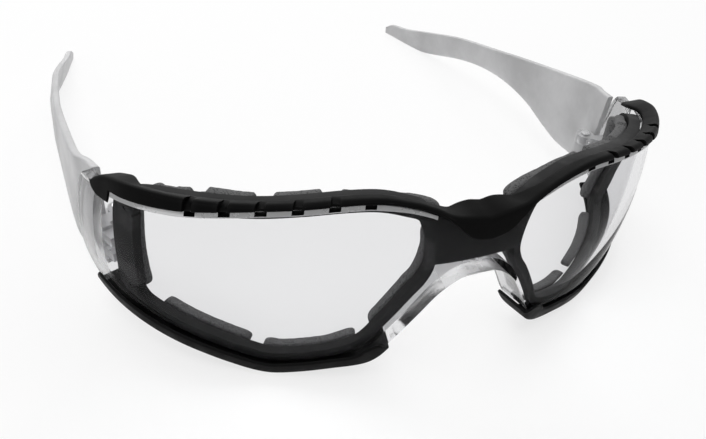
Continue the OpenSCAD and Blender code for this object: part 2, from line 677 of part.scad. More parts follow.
// Stations along the blade, as distances behind the hinge pin
blade_front = -0.6;
blade_y = concat(
  [blade_front, 0.8, 2.3, 3.8, 5.3, 6.8, 8.3, 10.8, 14.8],
  [for (y = [19.8:5:temple_len - 11]) y],
  [for (y = [8, 5, 3, 1.4, 0]) temple_len - y]);
edge_round = 0.5;
function blade_outline(y) =
  let(
    zt = curve(temple_top, y),
    zb = max(curve(temple_low, y), base_z),
    xt = wing_rear[0] - curve(temple_plan_top, y),
    xb = wing_rear[0] - curve(temple_plan_low, y),
    r = min(edge_round, (zt - zb) / 4),
    lean = (xt - xb) / (zt - zb))
  [for (p = [
    [-temple_t, zb + r], [-temple_t, (2 * zb + zt) / 3], [-temple_t, (zb + 2 * zt) / 3],
    [-temple_t, zt - r], [-temple_t + edge_round, zt], [-edge_round, zt],
    [0, zt - r], [0, (zb + 2 * zt) / 3], [0, (2 * zb + zt) / 3], [0, zb + r],
    [-edge_round, zb], [-temple_t + edge_round, zb]])
    [xb + lean * (p[1] - zb) + p[0], pivot_y + y, p[1]]];
knuckle_r = ear_r - 0.1;
arm_y = pivot_y + 4.6;
module temple() {
  color(smoke)
    difference() {
      union() {
        skin([for (y = blade_y) blade_outline(y)]);
        translate([0, 0, hinge_z - knuckle_h / 2]) {
          translate([pivot_x, pivot_y, 0]) cylinder(r = knuckle_r, h = knuckle_h, $fn = 48);
          linear_extrude(height = knuckle_h)
            polygon([
              [pivot_x, pivot_y],
              [pivot_x + knuckle_r * 0.4, pivot_y - knuckle_r * 0.7],
              [wing_rear[0] - 4.15, pivot_y + blade_front + 0.3],
              [wing_rear[0] - 3.15, arm_y],
              [wing_rear[0] - 4.35, arm_y],
              [pivot_x - knuckle_r * 0.4, pivot_y + knuckle_r * 0.8]]);
        }
      }
      bore();
    }
}
module temple_right() {
  temple();
}
module temple_left() {
  mirror([1, 0, 0]) temple();
}

translate([0, -mid_y, -base_z]) {
  lens();
  brow_guard();
  gasket_frame();
  lower_rim_left();
  lower_rim_right();
  foam_top_left();
  foam_top_right();
  foam_side_left();
  foam_side_right();
  foam_lower_outer_left();
  foam_lower_outer_right();
  foam_lower_inner_left();
  foam_lower_inner_right();
  foam_nose_left();
  foam_nose_right();
  hinge_block_left();
  hinge_block_right();
  hinge_pin_left();
  hinge_pin_right();
  temple_left();
  temple_right();
}
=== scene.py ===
import math

import bmesh
import bpy
import numpy as np
from mathutils import Matrix, Vector, noise


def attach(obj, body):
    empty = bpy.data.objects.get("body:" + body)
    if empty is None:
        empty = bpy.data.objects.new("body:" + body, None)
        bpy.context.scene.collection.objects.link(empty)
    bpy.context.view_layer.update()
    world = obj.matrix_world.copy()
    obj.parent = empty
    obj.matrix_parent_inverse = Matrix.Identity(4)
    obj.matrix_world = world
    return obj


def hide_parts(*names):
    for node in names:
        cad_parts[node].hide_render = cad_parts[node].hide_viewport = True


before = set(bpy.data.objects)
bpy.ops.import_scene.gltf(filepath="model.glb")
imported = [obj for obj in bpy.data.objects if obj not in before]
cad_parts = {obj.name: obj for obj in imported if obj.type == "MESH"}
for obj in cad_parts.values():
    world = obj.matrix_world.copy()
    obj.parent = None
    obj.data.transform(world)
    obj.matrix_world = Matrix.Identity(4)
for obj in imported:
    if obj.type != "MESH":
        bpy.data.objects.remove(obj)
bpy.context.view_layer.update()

# Sizes of the glasses in millimetres, as in the part's source

MM = 1000
HALF_W, WRAP_DEPTH, WRAP_POWER = 71.0, 59.8, 2.37
BOW_R, MID_Z = 90.0, 23.1
LENS_T, RIB_H, RIB_W = 2.2, 0.5, 1.5
VENT_COUNT, VENT_PITCH, VENT_W, VENT_START = 6, 6.6, 2.2, 25.3
FLANGE_D, FLANGE_T, FLANGE_PAST = 8.3, 1.5, 0.15
BROW_PROUD, BROW_REACH, BROW_D, BROW_NOSE_D, BROW_END_D = 1.5, 83.5, 2.0, 4.5, 2.4
BROW_FOOT = 0.35
HOOK_H, HOOK_L, NOTCH_W = 2.6, 6.8, 1.9
RIM_PROUD, RIM_LIP, RIM_FLOOR, RIM_END, RIM_D = 0.8, 2.6, 0.8, 86.0, 5.1
GASKET_D, RAIL_TOP, RAIL_LOW, RAIL_NOSE, RAIL_SIDE, SIDE_S = 5.0, 3.0, 2.4, 1.9, 6.0, 80.0
FOAM_T, FOAM_TOP_W, FOAM_LOW_W, FOAM_NOSE_W, FOAM_SIDE_W = 2.4, 2.8, 2.4, 2.0, 3.4
FOAM_CHANNEL = 1.0
HINGE_IN, HINGE_BACK, PIN_D, EAR_R = 8.25, 2.55, 1.8, 2.3
HINGE_Z, KNUCKLE_H = 17.5, 4.6
TEMPLE_T, TEMPLE_LEN, TEMPLE_FRONT_TOP = 1.8, 112.8, 33.6
SEAT, RIM_SEAT, GASKET_GAP, FOAM_GAP, PIN_GAP = 0.05, 0.15, 0.25, 0.25, 0.05
BASE_Z = 0.9
WING_S = 93.0

# Edge lines as stations. Lens and brow guard: distance s along the lens from its middle, and
# height. Wing: height, and distance along the lens. Flange: distance along the lens, and share
# of its depth. Temple: distance behind the hinge, and height, or inset from the wing in plan

LENS_BOTTOM = [[0, 26.2], [4.2, 25.8], [8.6, 22.8], [11.7, 18.6], [17.2, 10], [19.4, 6.4],
               [22, 4.6], [29, 3.7], [37, 2.2], [41.5, 1.5], [45, 1.9], [50, 3.2], [56, 4.5],
               [62, 5.4], [68, 6.2], [74, 6.9], [80, 7.6], [86, 8.6], [90, 9.8], [95, 12]]
LENS_TOP = [[0, 38.3], [8, 39.8], [12, 41.7], [16, 43.3], [23, 44.9], [30, 44.9], [37, 44.1],
            [45, 42.9], [52, 41.9], [61, 40.6], [68, 39.2], [74, 37.8], [80, 35.9], [84, 34.8],
            [95, 33]]
WING_EDGE = [[7, 91], [10, 93.4], [14, 94.4], [20, 93.6], [28, 91.6], [32, 90.3], [34, 88.8],
             [36, 86.6]]
BROW_LOW = [[0, 34.9], [4, 35.9], [7, 38.4], [10, 40.9], [14, 42.9], [19, 44.3], [25, 45],
            [31, 44.7], [38, 43.8], [45, 42.8], [52, 41.4], [60, 39.5], [66, 38.3], [71, 37.4],
            [84, 35.5]]
BROW_CREASE = [[0, 39.8], [8, 41.3], [12, 43.2], [16, 44.7], [23, 46.2], [30, 46.2], [37, 45.4],
               [45, 44.4], [52, 43.5], [61, 42.3], [68, 41.3], [74, 40.2], [80, 38.3], [84, 36.4]]
FLANGE_RUN = [[0, 0.4], [4, 0.52], [7, 0.8], [9.5, 1], [16, 1], [18.5, 0.85], [20.5, 0.5],
              [22.5, 0.29], [95, 0.29]]
TEMPLE_TOP = [[-1.2, TEMPLE_FRONT_TOP], [4.8, 32.6], [14.8, 30.4], [34.8, 25.4], [54.8, 20.4],
              [74.8, 15.6], [89.8, 10.9], [102.8, 6.8], [TEMPLE_LEN - 2.5, 5.2], [TEMPLE_LEN, 3.4]]
TEMPLE_LOW = [[-1.2, 9.8], [6.8, 9], [16.8, 8.2], [24.8, 9.4], [34.8, 11.6], [44.8, 12.3],
              [54.8, 11.9], [64.8, 10.2], [74.8, 7.4], [84.8, 4], [92.8, 1.5], [97.8, BASE_Z],
              [TEMPLE_LEN, BASE_Z]]
PLAN_TOP = [[-1.2, 3.45], [2.3, 2.65], [4.3, 2.05], [7.3, 0.75], [14.8, 0.25], [42.8, 0.25],
            [54.8, 0.95], [66.8, 1.95], [78.8, 3.35], [90.8, 5.55], [102.8, 8.25],
            [TEMPLE_LEN, 10.55]]
PLAN_LOW = [[-1.2, 4.15], [2.3, 3.55], [4.3, 2.35], [7.3, 0.75], [14.8, -0.05], [42.8, -0.45],
            [54.8, 0.05], [66.8, 0.65], [78.8, 1.55], [90.8, 3.55], [96.8, 5.15], [102.8, 7.25],
            [TEMPLE_LEN, 10.35]]


def curve(table, x):
    """Smooth curve through stations [x, value], flat beyond its ends."""
    t = np.asarray(table, float)
    x = np.asarray(x, float)
    n = len(t)
    before, after = np.maximum(np.arange(n) - 1, 0), np.minimum(np.arange(n) + 1, n - 1)
    slope = (t[after, 1] - t[before, 1]) / (t[after, 0] - t[before, 0])
    i = np.clip(np.searchsorted(t[:, 0], x, side="right") - 1, 0, n - 2)
    w = t[i + 1, 0] - t[i, 0]
    u = np.clip((x - t[i, 0]) / w, 0, 1)
    return ((2 * u**3 - 3 * u**2 + 1) * t[i, 1] + (u**3 - 2 * u**2 + u) * slope[i] * w
            + (3 * u**2 - 2 * u**3) * t[i + 1, 1] + (u**3 - u**2) * slope[i + 1] * w)


def ease(a, b, x):
    """0 before a, 1 after b, smooth between them."""
    u = np.clip((np.asarray(x, float) - a) / (b - a), 0, 1)
    return u * u * (3 - 2 * u)


wrap_turn = np.radians(np.arange(91))
wrap_line = np.stack([
    HALF_W * np.sin(wrap_turn) ** (2 / WRAP_POWER),
    WRAP_DEPTH * (1 - np.clip(np.cos(wrap_turn), 0, 1) ** (2 / WRAP_POWER))], 1)
wrap_length = np.concatenate([[0], np.cumsum(np.linalg.norm(np.diff(wrap_line, axis=0), axis=1))])


def bow(z):
    return (z - MID_Z) ** 2 / (2 * BOW_R)


def on_shield(s, z, off):
    """Point at distance s along the lens, height z and depth off behind its front."""
    s, z, off = np.broadcast_arrays(np.asarray(s, float), np.asarray(z, float),
                                    np.asarray(off, float))
    turn = np.interp(np.abs(s), wrap_length, wrap_turn)
    inset = off + bow(z)
    x = np.sign(s) * np.sin(turn) ** (2 / WRAP_POWER) * (HALF_W - inset)
    y = WRAP_DEPTH - np.clip(np.cos(turn), 0, 1) ** (2 / WRAP_POWER) * (WRAP_DEPTH - inset)
    return np.stack([x, y, z], -1)


def bottom_z(s):
    return curve(LENS_BOTTOM, np.abs(s))


def top_z(s):
    return curve(LENS_TOP, np.abs(s))


def low_z(s):
    return curve(BROW_LOW, np.abs(s))


def crease_z(s):
    return curve(BROW_CREASE, np.abs(s))


SLOPE_STEP = 0.3


def edge_normal(s):
    """Unit vector square to the bottom edge, pointing up into the lens."""
    s = np.asarray(s, float)
    rise = bottom_z(np.abs(s) + SLOPE_STEP) - bottom_z(np.abs(s) - SLOPE_STEP)
    d = np.stack([-rise * np.where(s < 0, -1, 1), np.full_like(s, 2 * SLOPE_STEP)], -1)
    return d / np.linalg.norm(d, axis=-1, keepdims=True)


def flange_at(s):
    """Depth of the flange, which is never less than just past the back of the lens."""
    return np.maximum(curve(FLANGE_RUN, np.abs(s)) * FLANGE_D, LENS_T + FLANGE_PAST)


wing_rear = on_shield(curve(WING_EDGE, HINGE_Z), HINGE_Z, 0)
pivot_x, pivot_y = float(wing_rear[0]) - HINGE_IN, float(wing_rear[1]) - HINGE_BACK
front_y = float(bow(low_z(0) + BROW_FOOT)) - BROW_PROUD
origin = np.array([0, (front_y + pivot_y + TEMPLE_LEN) / 2, BASE_Z])
brow_lip = RIB_H + SEAT
gasket_front = LENS_T + GASKET_GAP
foam_front = GASKET_D + FOAM_GAP
pin_bore = PIN_D / 2 + PIN_GAP

# Meshes

MERGE = 1e-7
CORNER_SHARE = 0.48
END_LEAST, END_MORE = 0.45, 0.55


def quad_skin(rings):
    """Faces of a skin through rings of points; the ends pair points from both sides."""
    m, n = rings.shape[:2]
    faces = [(k * n + i, (k + 1) * n + i, (k + 1) * n + (i + 1) % n, k * n + (i + 1) % n)
             for k in range(m - 1) for i in range(n)]
    for i in range(n // 2 - 1):
        cap = (i, i + 1, n - 2 - i, n - 1 - i)
        faces += [cap, tuple((m - 1) * n + v for v in cap[::-1])]
    return faces


def stacked(rows):
    """Outlines from rows of (first, second) coordinates, one row for each of their points."""
    return np.stack([np.stack(np.broadcast_arrays(*row), -1) for row in rows], -2)


def softened(outline, radius, steps=4):
    """Rounds every corner of (..., n, 2) outlines with a curve of that radius or less."""
    a, b, c = np.roll(outline, 1, -2), outline, np.roll(outline, -1, -2)
    radius = np.broadcast_to(np.asarray(radius, float), outline.shape[-2:-1])[..., None]

    def cut(other):
        d = other - b
        length = np.linalg.norm(d, axis=-1, keepdims=True) + 1e-9
        return b + d / length * np.minimum(radius, CORNER_SHARE * length)

    p, q = cut(a), cut(c)
    u = np.linspace(0, 1, steps)[:, None]
    corner = ((1 - u) ** 2 * p[..., None, :] + 2 * u * (1 - u) * b[..., None, :]
              + u**2 * q[..., None, :])
    return corner.reshape(*outline.shape[:-2], -1, 2)


def end_scale(u):
    """Size of a strip near its rounded end: END_LEAST at u = 0, full at u = 1."""
    return END_LEAST + END_MORE * np.sqrt(np.maximum(1 - (1 - u) ** 2, 0))


def on_side(points, side):
    """Points of the right side as they are, or mirrored to the left."""
    return points * np.array([-1, 1, 1]) if side == "left" else points


def linked(name, data):
    obj = bpy.data.objects.new(name, data)
    bpy.context.scene.collection.objects.link(obj)
    return obj


def new_mesh(name, points, faces, finishes=(), merge=False):
    """An object from millimetre points in the lens frame, with its normals outwards.

    Each finish comes with the faces that carry it; the first has all that are left.
    """
    mesh = bpy.data.meshes.new(name)
    verts = (np.asarray(points, float).reshape(-1, 3) - origin) / MM
    mesh.from_pydata(verts.tolist(), [], faces)
    for index, (finish, marked) in enumerate(finishes):
        mesh.materials.append(finish.material)
        for i in marked:
            mesh.polygons[i].material_index = index
    obj = linked(name, mesh)
    tidy = bmesh.new()
    tidy.from_mesh(mesh)
    if merge:
        bmesh.ops.remove_doubles(tidy, verts=tidy.verts, dist=MERGE)
        bmesh.ops.dissolve_degenerate(tidy, edges=tidy.edges, dist=MERGE)
    bmesh.ops.recalc_face_normals(tidy, faces=tidy.faces)
    tidy.to_mesh(mesh)
    tidy.free()
    return obj


def new_piece(name, points, faces, finish, node_name, bevel=0.0, crease=40, segments=2,
              others=()):
    """A visible piece of the front, smooth but for folds sharper than crease degrees."""
    obj = new_mesh(name, points, faces, [(finish, ()), *others], merge=True)
    if bevel:
        soften(obj, bevel, crease, segments)
    shade_smooth(obj, crease)
    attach(obj, "front")
    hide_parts(node_name)
    return obj


def add_rounding(obj, width, angle, segments=2):
    """Rounds edges sharper than an angle in degrees, by a width in millimetres."""
    rounding = obj.modifiers.new("rounding", "BEVEL")
    rounding.width = width / MM
    rounding.segments = segments
    rounding.limit_method = "ANGLE"
    rounding.angle_limit = math.radians(angle)


def apply_modifiers(obj):
    graph = bpy.context.evaluated_depsgraph_get()
    made = bpy.data.meshes.new_from_object(obj.evaluated_get(graph))
    obj.modifiers.clear()
    old, obj.data = obj.data, made
    bpy.data.meshes.remove(old)


def soften(obj, width, angle, segments=2):
    """Rounds the sharp edges of a mesh for good."""
    add_rounding(obj, width, angle, segments)
    apply_modifiers(obj)


def shade_smooth(obj, crease):
    obj.data.polygons.foreach_set("use_smooth", [True] * len(obj.data.polygons))
    obj.data.set_sharp_from_angle(angle=math.radians(crease))


def finish_mesh(obj, finish, crease=40):
    obj.data.materials.clear()
    obj.data.materials.append(finish.material)
    shade_smooth(obj, crease)


# Materials


def node(tree, kind, values=(), **settings):
    made = tree.nodes.new(kind)
    for key, value in settings.items():
        setattr(made, key, value)
    for key, value in dict(values).items():
        made.inputs[key].default_value = value
    return made


def wire(tree, *wires):
    """Links nodes; each wire is a source, its output, a target and its input."""
    for source, output, target, entry in wires:
        tree.links.new(source.outputs[output], target.inputs[entry])


def new_group(name, inputs, outputs):
    tree = bpy.data.node_groups.new(name, "ShaderNodeTree")
    for label, value in inputs:
        socket = tree.interface.new_socket(label, in_out="INPUT", socket_type="NodeSocketFloat")
        socket.default_value = value
    for label in outputs:
        tree.interface.new_socket(label, in_out="OUTPUT", socket_type="NodeSocketFloat")
    return tree, node(tree, "NodeGroupInput"), node(tree, "NodeGroupOutput")


def build_grain():
    """Fine moulded grain: a height that changes over the surface."""
    tree, given, out = new_group("moulded_grain", [("Scale", 1800.0), ("Detail", 3.0)],
                                 ["Height"])
    where = node(tree, "ShaderNodeTexCoord")
    grain = node(tree, "ShaderNodeTexNoise", {"Roughness": 0.6})
    wire(tree, (where, "Object", grain, "Vector"), (given, "Scale", grain, "Scale"),
         (given, "Detail", grain, "Detail"), (grain, "Fac", out, "Height"))
    return tree


def build_smudges():
    """Broad smudges: a value between Low and High."""
    tree, given, out = new_group(
        "handling_smudges", [("Scale", 60.0), ("Low", 0.2), ("High", 0.3)], ["Value"])
    where = node(tree, "ShaderNodeTexCoord")
    cloud = node(tree, "ShaderNodeTexNoise", {"Detail": 5.0, "Roughness": 0.65})
    spread = node(tree, "ShaderNodeMapRange", {"From Min": 0.35, "From Max": 0.65})
    wire(tree, (where, "Object", cloud, "Vector"), (given, "Scale", cloud, "Scale"),
         (cloud, "Fac", spread, "Value"), (given, "Low", spread, "To Min"),
         (given, "High", spread, "To Max"), (spread, "Result", out, "Value"))
    return tree


def build_wear():
    """Worn edges: a mask that is strongest where the surface turns outwards."""
    tree, given, out = new_group(
        "edge_wear", [("Start", 0.52), ("End", 0.6), ("Scale", 400.0)], ["Mask"])
    shape = node(tree, "ShaderNodeNewGeometry")
    where = node(tree, "ShaderNodeTexCoord")
    edge = node(tree, "ShaderNodeMapRange")
    patchy = node(tree, "ShaderNodeTexNoise", {"Detail": 4.0})
    both = node(tree, "ShaderNodeMath", operation="MULTIPLY")
    wire(tree, (shape, "Pointiness", edge, "Value"), (given, "Start", edge, "From Min"),
         (given, "End", edge, "From Max"), (where, "Object", patchy, "Vector"),
         (given, "Scale", patchy, "Scale"), (edge, "Result", both, 0), (patchy, "Fac", both, 1),
         (both, "Value", out, "Mask"))
    return tree


def build_cells():
    """Foam cells: a height with small round pores, and a mask of the open ones, for painted shade
    in them.
    """
    tree, given, out = new_group("foam_cells", [("Scale", 2600.0)], ["Height", "Mask"])
    where = node(tree, "ShaderNodeTexCoord")
    cell = node(tree, "ShaderNodeTexVoronoi", feature="F1")
    uneven = node(tree, "ShaderNodeTexNoise", {"Scale": 900.0, "Detail": 3.0})
    add = node(tree, "ShaderNodeMath", operation="ADD")
    pores = node(tree, "ShaderNodeMapRange",
                 {"From Min": 0.1, "From Max": 0.45, "To Min": 1.0, "To Max": 0.0})
    wire(tree, (where, "Object", cell, "Vector"), (where, "Object", uneven, "Vector"),
         (given, "Scale", cell, "Scale"), (cell, "Distance", add, 0), (uneven, "Fac", add, 1),
         (cell, "Distance", pores, "Value"), (add, "Value", out, "Height"),
         (pores, "Result", out, "Mask"))
    return tree


GROUPS = {"grain": build_grain(), "smudges": build_smudges(), "wear": build_wear(),
          "cells": build_cells()}


def grey(v):
    """An opaque grey, very slightly blue."""
    return (v, v, v * 1.01, 1)


class Finish:
    """A material with one Principled shader, and shorthand for what feeds it."""

    def __init__(self, name, colour, **constants):
        self.material = bpy.data.materials.new(name)
        self.material.use_nodes = True
        self.tree = self.material.node_tree
        self.shader = self.tree.nodes["Principled BSDF"]
        self.output = self.tree.nodes["Material Output"]
        self.shader.inputs["Base Color"].default_value = colour
        for key, value in constants.items():
            label = key.replace("_", " ").title().replace("Ior", "IOR")
            self.shader.inputs[label].default_value = value

    def group(self, key, **values):
        made = self.tree.nodes.new("ShaderNodeGroup")
        made.node_tree = GROUPS[key]
        for label, value in values.items():
            made.inputs[label].default_value = value
        return made

    def roughness(self, low, high, scale):
        """Roughness between low and high, in smudges of that scale."""
        smudges = self.group("smudges", Scale=scale, Low=low, High=high)
        wire(self.tree, (smudges, "Value", self.shader, "Roughness"))
        return self

    def bump(self, group, strength, distance):
        """Bump from a group's Height; distance is in metres."""
        rise = node(self.tree, "ShaderNodeBump", {"Strength": strength, "Distance": distance})
        wire(self.tree, (group, "Height", rise, "Height"), (rise, "Normal", self.shader, "Normal"))
        return self

    def grain(self, scale, strength, distance):
        return self.bump(self.group("grain", Scale=scale), strength, distance)

    def colour_mix(self, group, label, changed):
        """Turns the base colour to another one where a group's output is 1."""
        mix = node(self.tree, "ShaderNodeMix", data_type="RGBA")
        # sockets of a colour mix are picked by identifier, since their names repeat
        by_id = {s.identifier: s for s in mix.inputs}
        by_id["A_Color"].default_value = self.shader.inputs["Base Color"].default_value
        by_id["B_Color"].default_value = changed
        self.tree.links.new(group.outputs[label], by_id["Factor_Float"])
        result = {s.identifier: s for s in mix.outputs}["Result_Color"]
        self.tree.links.new(result, self.shader.inputs["Base Color"])
        return self

    def worn(self, changed, start=0.51, end=0.62):
        """Turns to another colour on worn edges."""
        return self.colour_mix(self.group("wear", Start=start, End=end), "Mask", changed)

    def lets_lamps_through(self, colour):
        """Lamps see a plain transparent stand-in, so what is behind is lit."""
        path = node(self.tree, "ShaderNodeLightPath")
        clear = node(self.tree, "ShaderNodeBsdfTransparent", {"Color": colour})
        mix = node(self.tree, "ShaderNodeMixShader")
        wire(self.tree, (path, "Is Shadow Ray", mix, "Fac"), (self.shader, "BSDF", mix, 1),
             (clear, "BSDF", mix, 2), (mix, "Shader", self.output, "Surface"))
        return self


lens_finish = Finish("clear_polycarbonate", grey(0.8), ior=1.04, transmission_weight=1.0,
                     specular_tint=(0.1, 0.1, 0.1, 1))
lens_finish.roughness(0.0, 0.012, scale=45.0).lets_lamps_through(grey(0.85))

rib_finish = Finish("clear_frosted_rib", grey(0.6), ior=1.4, transmission_weight=0.35)
rib_finish.roughness(0.22, 0.4, scale=160.0)

flange_finish = Finish("clear_frosted_flange", grey(0.62), ior=1.25, transmission_weight=0.8,
                       specular_tint=(0.3, 0.3, 0.3, 1))
flange_finish.roughness(0.2, 0.4, scale=140.0).lets_lamps_through(grey(0.8))

leg_finish = Finish("clear_flange_leg", grey(0.6), ior=1.5, transmission_weight=1.0,
                    specular_tint=(0.3, 0.3, 0.3, 1))
leg_finish.roughness(0.06, 0.16, scale=140.0).lets_lamps_through(grey(0.8))

wing_finish = Finish("clear_frosted_wing", grey(0.54), ior=1.25, transmission_weight=0.9,
                     specular_tint=(0.3, 0.3, 0.3, 1))
wing_finish.roughness(0.08, 0.2, scale=140.0).lets_lamps_through(grey(0.75))

hinge_finish = Finish("clear_moulded_hinge", grey(0.6), ior=1.5, transmission_weight=0.6,
                      specular_tint=(0.5, 0.5, 0.5, 1))
hinge_finish.roughness(0.25, 0.4, scale=120.0).lets_lamps_through(grey(0.7))

brow_finish = Finish("brow_rubber_black", grey(0.0025), specular_ior_level=0.03)
brow_finish.worn(grey(0.02)).roughness(0.44, 0.6, scale=90.0)
brow_finish.grain(scale=2600.0, strength=0.08, distance=0.00008)

gasket_finish = Finish("gasket_moulded_black", grey(0.023), specular_ior_level=0.04)
gasket_finish.worn(grey(0.06)).roughness(0.6, 0.8, scale=110.0)
gasket_finish.grain(scale=2000.0, strength=0.06, distance=0.00006)

rim_finish = Finish("rim_gloss_black", grey(0.003), specular_ior_level=0.05)
rim_finish.worn(grey(0.02), start=0.52, end=0.64).roughness(0.35, 0.6, scale=220.0)
rim_finish.grain(scale=1500.0, strength=0.1, distance=0.0001)

foam_finish = Finish("foam_fine_cell", grey(0.125), sheen_weight=0.04, sheen_roughness=0.6,
                     specular_ior_level=0.05)
foam_cells = foam_finish.group("cells", Scale=2400.0)
# the open pores turn darker grey: painted shade inside them, over the foam's own grey
foam_finish.colour_mix(foam_cells, "Mask", grey(0.035)).roughness(0.86, 0.98, scale=140.0)
foam_finish.bump(foam_cells, strength=0.55, distance=0.0003)

temple_finish = Finish("temple_smoke", grey(0.7), ior=1.45, transmission_weight=0.35)
temple_cloud = temple_finish.group("smudges", Scale=28.0, Low=0.0, High=1.0)
temple_finish.colour_mix(temple_cloud, "Value", grey(0.49))
temple_finish.roughness(0.34, 0.48, scale=50.0).lets_lamps_through(grey(0.55))

pin_finish = Finish("pin_steel", grey(0.6), metallic=1.0)
pin_finish.roughness(0.2, 0.36, scale=300.0)
pin_finish.grain(scale=3000.0, strength=0.08, distance=0.00005)

# Lens

# Rows and columns of the grids; then shares, lengths, and distances along the lens
BODY_ROWS, FLANGE_ROWS, RIB_ROWS = 16, 5, 2
NOSE_COLS, VENT_COLS, POST_COLS, OUTER_COLS = 34, 3, 6, 36
RIB_NOSE, RIB_WING = (9, 15), (80, 86)
RIB_FOOT, RIB_SHARE, RIB_CREST = 0.12, 0.75, 0.25
VENT_EDGE, VENT_TOP = 0.4, 0.3
INNER_BLEND, WING_BLEND = 3, 8
STRIP_FROM, STRIP_TO, ARCH_S, FLANGE_SEEN, WING_SEEN = 12, 82, 8, 17, 84


def lens_columns():
    """Distances of the columns along the lens, and those of the vent slots."""
    vents = VENT_START + VENT_PITCH * np.arange(VENT_COUNT)
    stops = [*np.linspace(0, vents[0] - VENT_W / 2, NOSE_COLS)]
    for k, v in enumerate(vents):
        stops += [*np.linspace(v - VENT_W / 2, v + VENT_W / 2, VENT_COLS)[1:]]
        if k < VENT_COUNT - 1:
            stops += [*np.linspace(v + VENT_W / 2, vents[k + 1] - VENT_W / 2, POST_COLS)[1:]]
    stops += [*np.linspace(stops[-1], WING_S, OUTER_COLS)[1:]]
    half = np.array(stops)
    return np.concatenate([-half[:0:-1], half]), vents


def to_wing(s, z):
    """Leans the outer columns onto the wing's rounded rear edge."""
    return s * (1 + (curve(WING_EDGE, z) / WING_S - 1) * (np.abs(s) / WING_S) ** WING_BLEND)


def lens_rows(s):
    """Front and back rows of (s, z, off) for every column."""
    z0, z1 = bottom_z(s), low_z(s) - RIB_W
    rib = RIB_H * ease(*RIB_NOSE, np.abs(s)) * (1 - ease(*RIB_WING, np.abs(s)))
    deep = flange_at(s)
    e = np.stack([s, z0], -1) + edge_normal(s) * FLANGE_T
    es, ez = e[:, 0], e[:, 1]
    front, back = [], []
    for k in np.linspace(1, 0, FLANGE_ROWS + 1)[:-1]:
        front.append((s, z0, deep * k))
        back.append((es, ez, LENS_T + (deep - LENS_T) * k))
    for u in np.linspace(0, 1, BODY_ROWS + 1):
        z = z0 + (z1 - z0) * u
        front.append((to_wing(s, z), z, 0 * s))
        zb = ez + (z1 - ez) * u
        sb = es + (s - es) * min(u * INNER_BLEND, 1)
        back.append((to_wing(sb, zb), zb, LENS_T + 0 * s))
    vent_low = z1 + VENT_EDGE
    vent_high = np.minimum(low_z(s) + VENT_EDGE, top_z(s) - VENT_TOP)
    for z, out in ((z1 + RIB_FOOT, rib * RIB_SHARE), (z1 + RIB_CREST, rib), (vent_low, rib),
                   (vent_high, rib), (top_z(s), 0 * rib)):
        front.append((to_wing(s, z), z, -out))
        back.append((to_wing(s, z), z, LENS_T + 0 * s))
    return front, back


def build_lens():
    """A closed shell between two grids, open at the vents, with each face's finish."""
    s, vents = lens_columns()
    front, back = lens_rows(s)
    grids = [np.stack([on_shield(*row) for row in rows], 1) for rows in (front, back)]
    nc, nr = grids[0].shape[:2]
    count = nc * nr
    rib_row = FLANGE_ROWS + BODY_ROWS
    vent_row = rib_row + 1 + RIB_ROWS
    mid = np.abs((s[1:] + s[:-1]) / 2)
    opened = np.zeros((nc + 1, nr + 1), bool)
    opened[0], opened[-1], opened[:, 0], opened[:, -1] = True, True, True, True
    for v in vents:
        opened[1:-1, vent_row + 1] |= np.abs(mid - v) < VENT_W / 2
    faces, strip, walls, arch, legs, wing = [], [], [], [], [], []
    for i in range(nc - 1):
        for j in range(nr - 1):
            if opened[i + 1, j + 1]:
                continue
            a, b = i * nr + j, (i + 1) * nr + j
            e, f = a + count, b + count
            first = len(faces)
            faces += [(a, a + 1, b + 1, b), (e, f, f + 1, e + 1)]
            if opened[i, j + 1]:
                faces.append((e, e + 1, a + 1, a))
            if opened[i + 2, j + 1]:
                faces.append((b, b + 1, f + 1, f))
            if opened[i + 1, j]:
                faces.append((a, b, f, e))
            if opened[i + 1, j + 2]:
                faces.append((a + 1, e + 1, f + 1, b + 1))
            if j >= rib_row and STRIP_FROM < abs(s[i]) < STRIP_TO:
                strip.append(first)
                # the vent slots' walls take the black rubber finish, as painted shade inside the
                # clear slots
                walls += range(first + 2, len(faces))
            elif j < FLANGE_ROWS and abs(s[i]) < FLANGE_SEEN:
                (arch if abs(s[i]) < ARCH_S else legs).extend(range(first, len(faces)))
            elif min(abs(s[i]), abs(s[i + 1])) > WING_SEEN:
                wing += range(first, len(faces))
    points = np.concatenate([g.reshape(-1, 3) for g in grids])
    return new_piece("clear_lens", points, faces, lens_finish, "lens",
                     bevel=0.22, segments=3,
                     # brow_finish on the lens's slot walls is painted shade in the vents
                     others=[(rib_finish, strip), (brow_finish, walls), (flange_finish, arch),
                             (leg_finish, legs), (wing_finish, wing)])


# Brow guard

# Lengths and shares; runs are distances along the lens, those below 0 from the guard's end
BROW_STEP, SAME_STOP = 0.7, 0.015
FIN_DEPTH, FIN_FACE, FIN_CURVE, NOTCH_EDGE, NOTCH_STOPS = 0.9, 0.8, 0.4, 0.12, 7
END_L, END_FULL_L, END_STOPS, END_LIFT, END_DROP = 4, 4.2, 14, 0.6, 1.3
HOOK_EDGE, HOOK_STOPS = 0.4, 5
WING_NEAR, WING_FAR, NOSE_RUN = (-13.5, -6.5), (-3, 0), (5, 15)
BACK_DROP, NOSE_RISE, NOSE_RISE_RUN, OVER_LENS = 1.3, 1.9, (2, 10), 0.6
THINNED, THINNED_RUN = 0.6, (-11.5, -3.5)
FACE_LOW, FACE_TOP, NOTCH_TOP, CREASE_IN = 0.8, 0.5, 0.25, 0.6
BACK_IN, BACK_DOWN = 0.5, 0.4
LIP_IN, LIP_DOWN, LIP_FOOT, LIP_PROUD = 0.3, 0.2, 0.5, 0.15
BROW_ROUNDS = [.25, .1, .5, .6, .45, .3, .1, .1, .1, .1, .12, .2]

notches = VENT_START + VENT_PITCH * np.arange(1, VENT_COUNT)


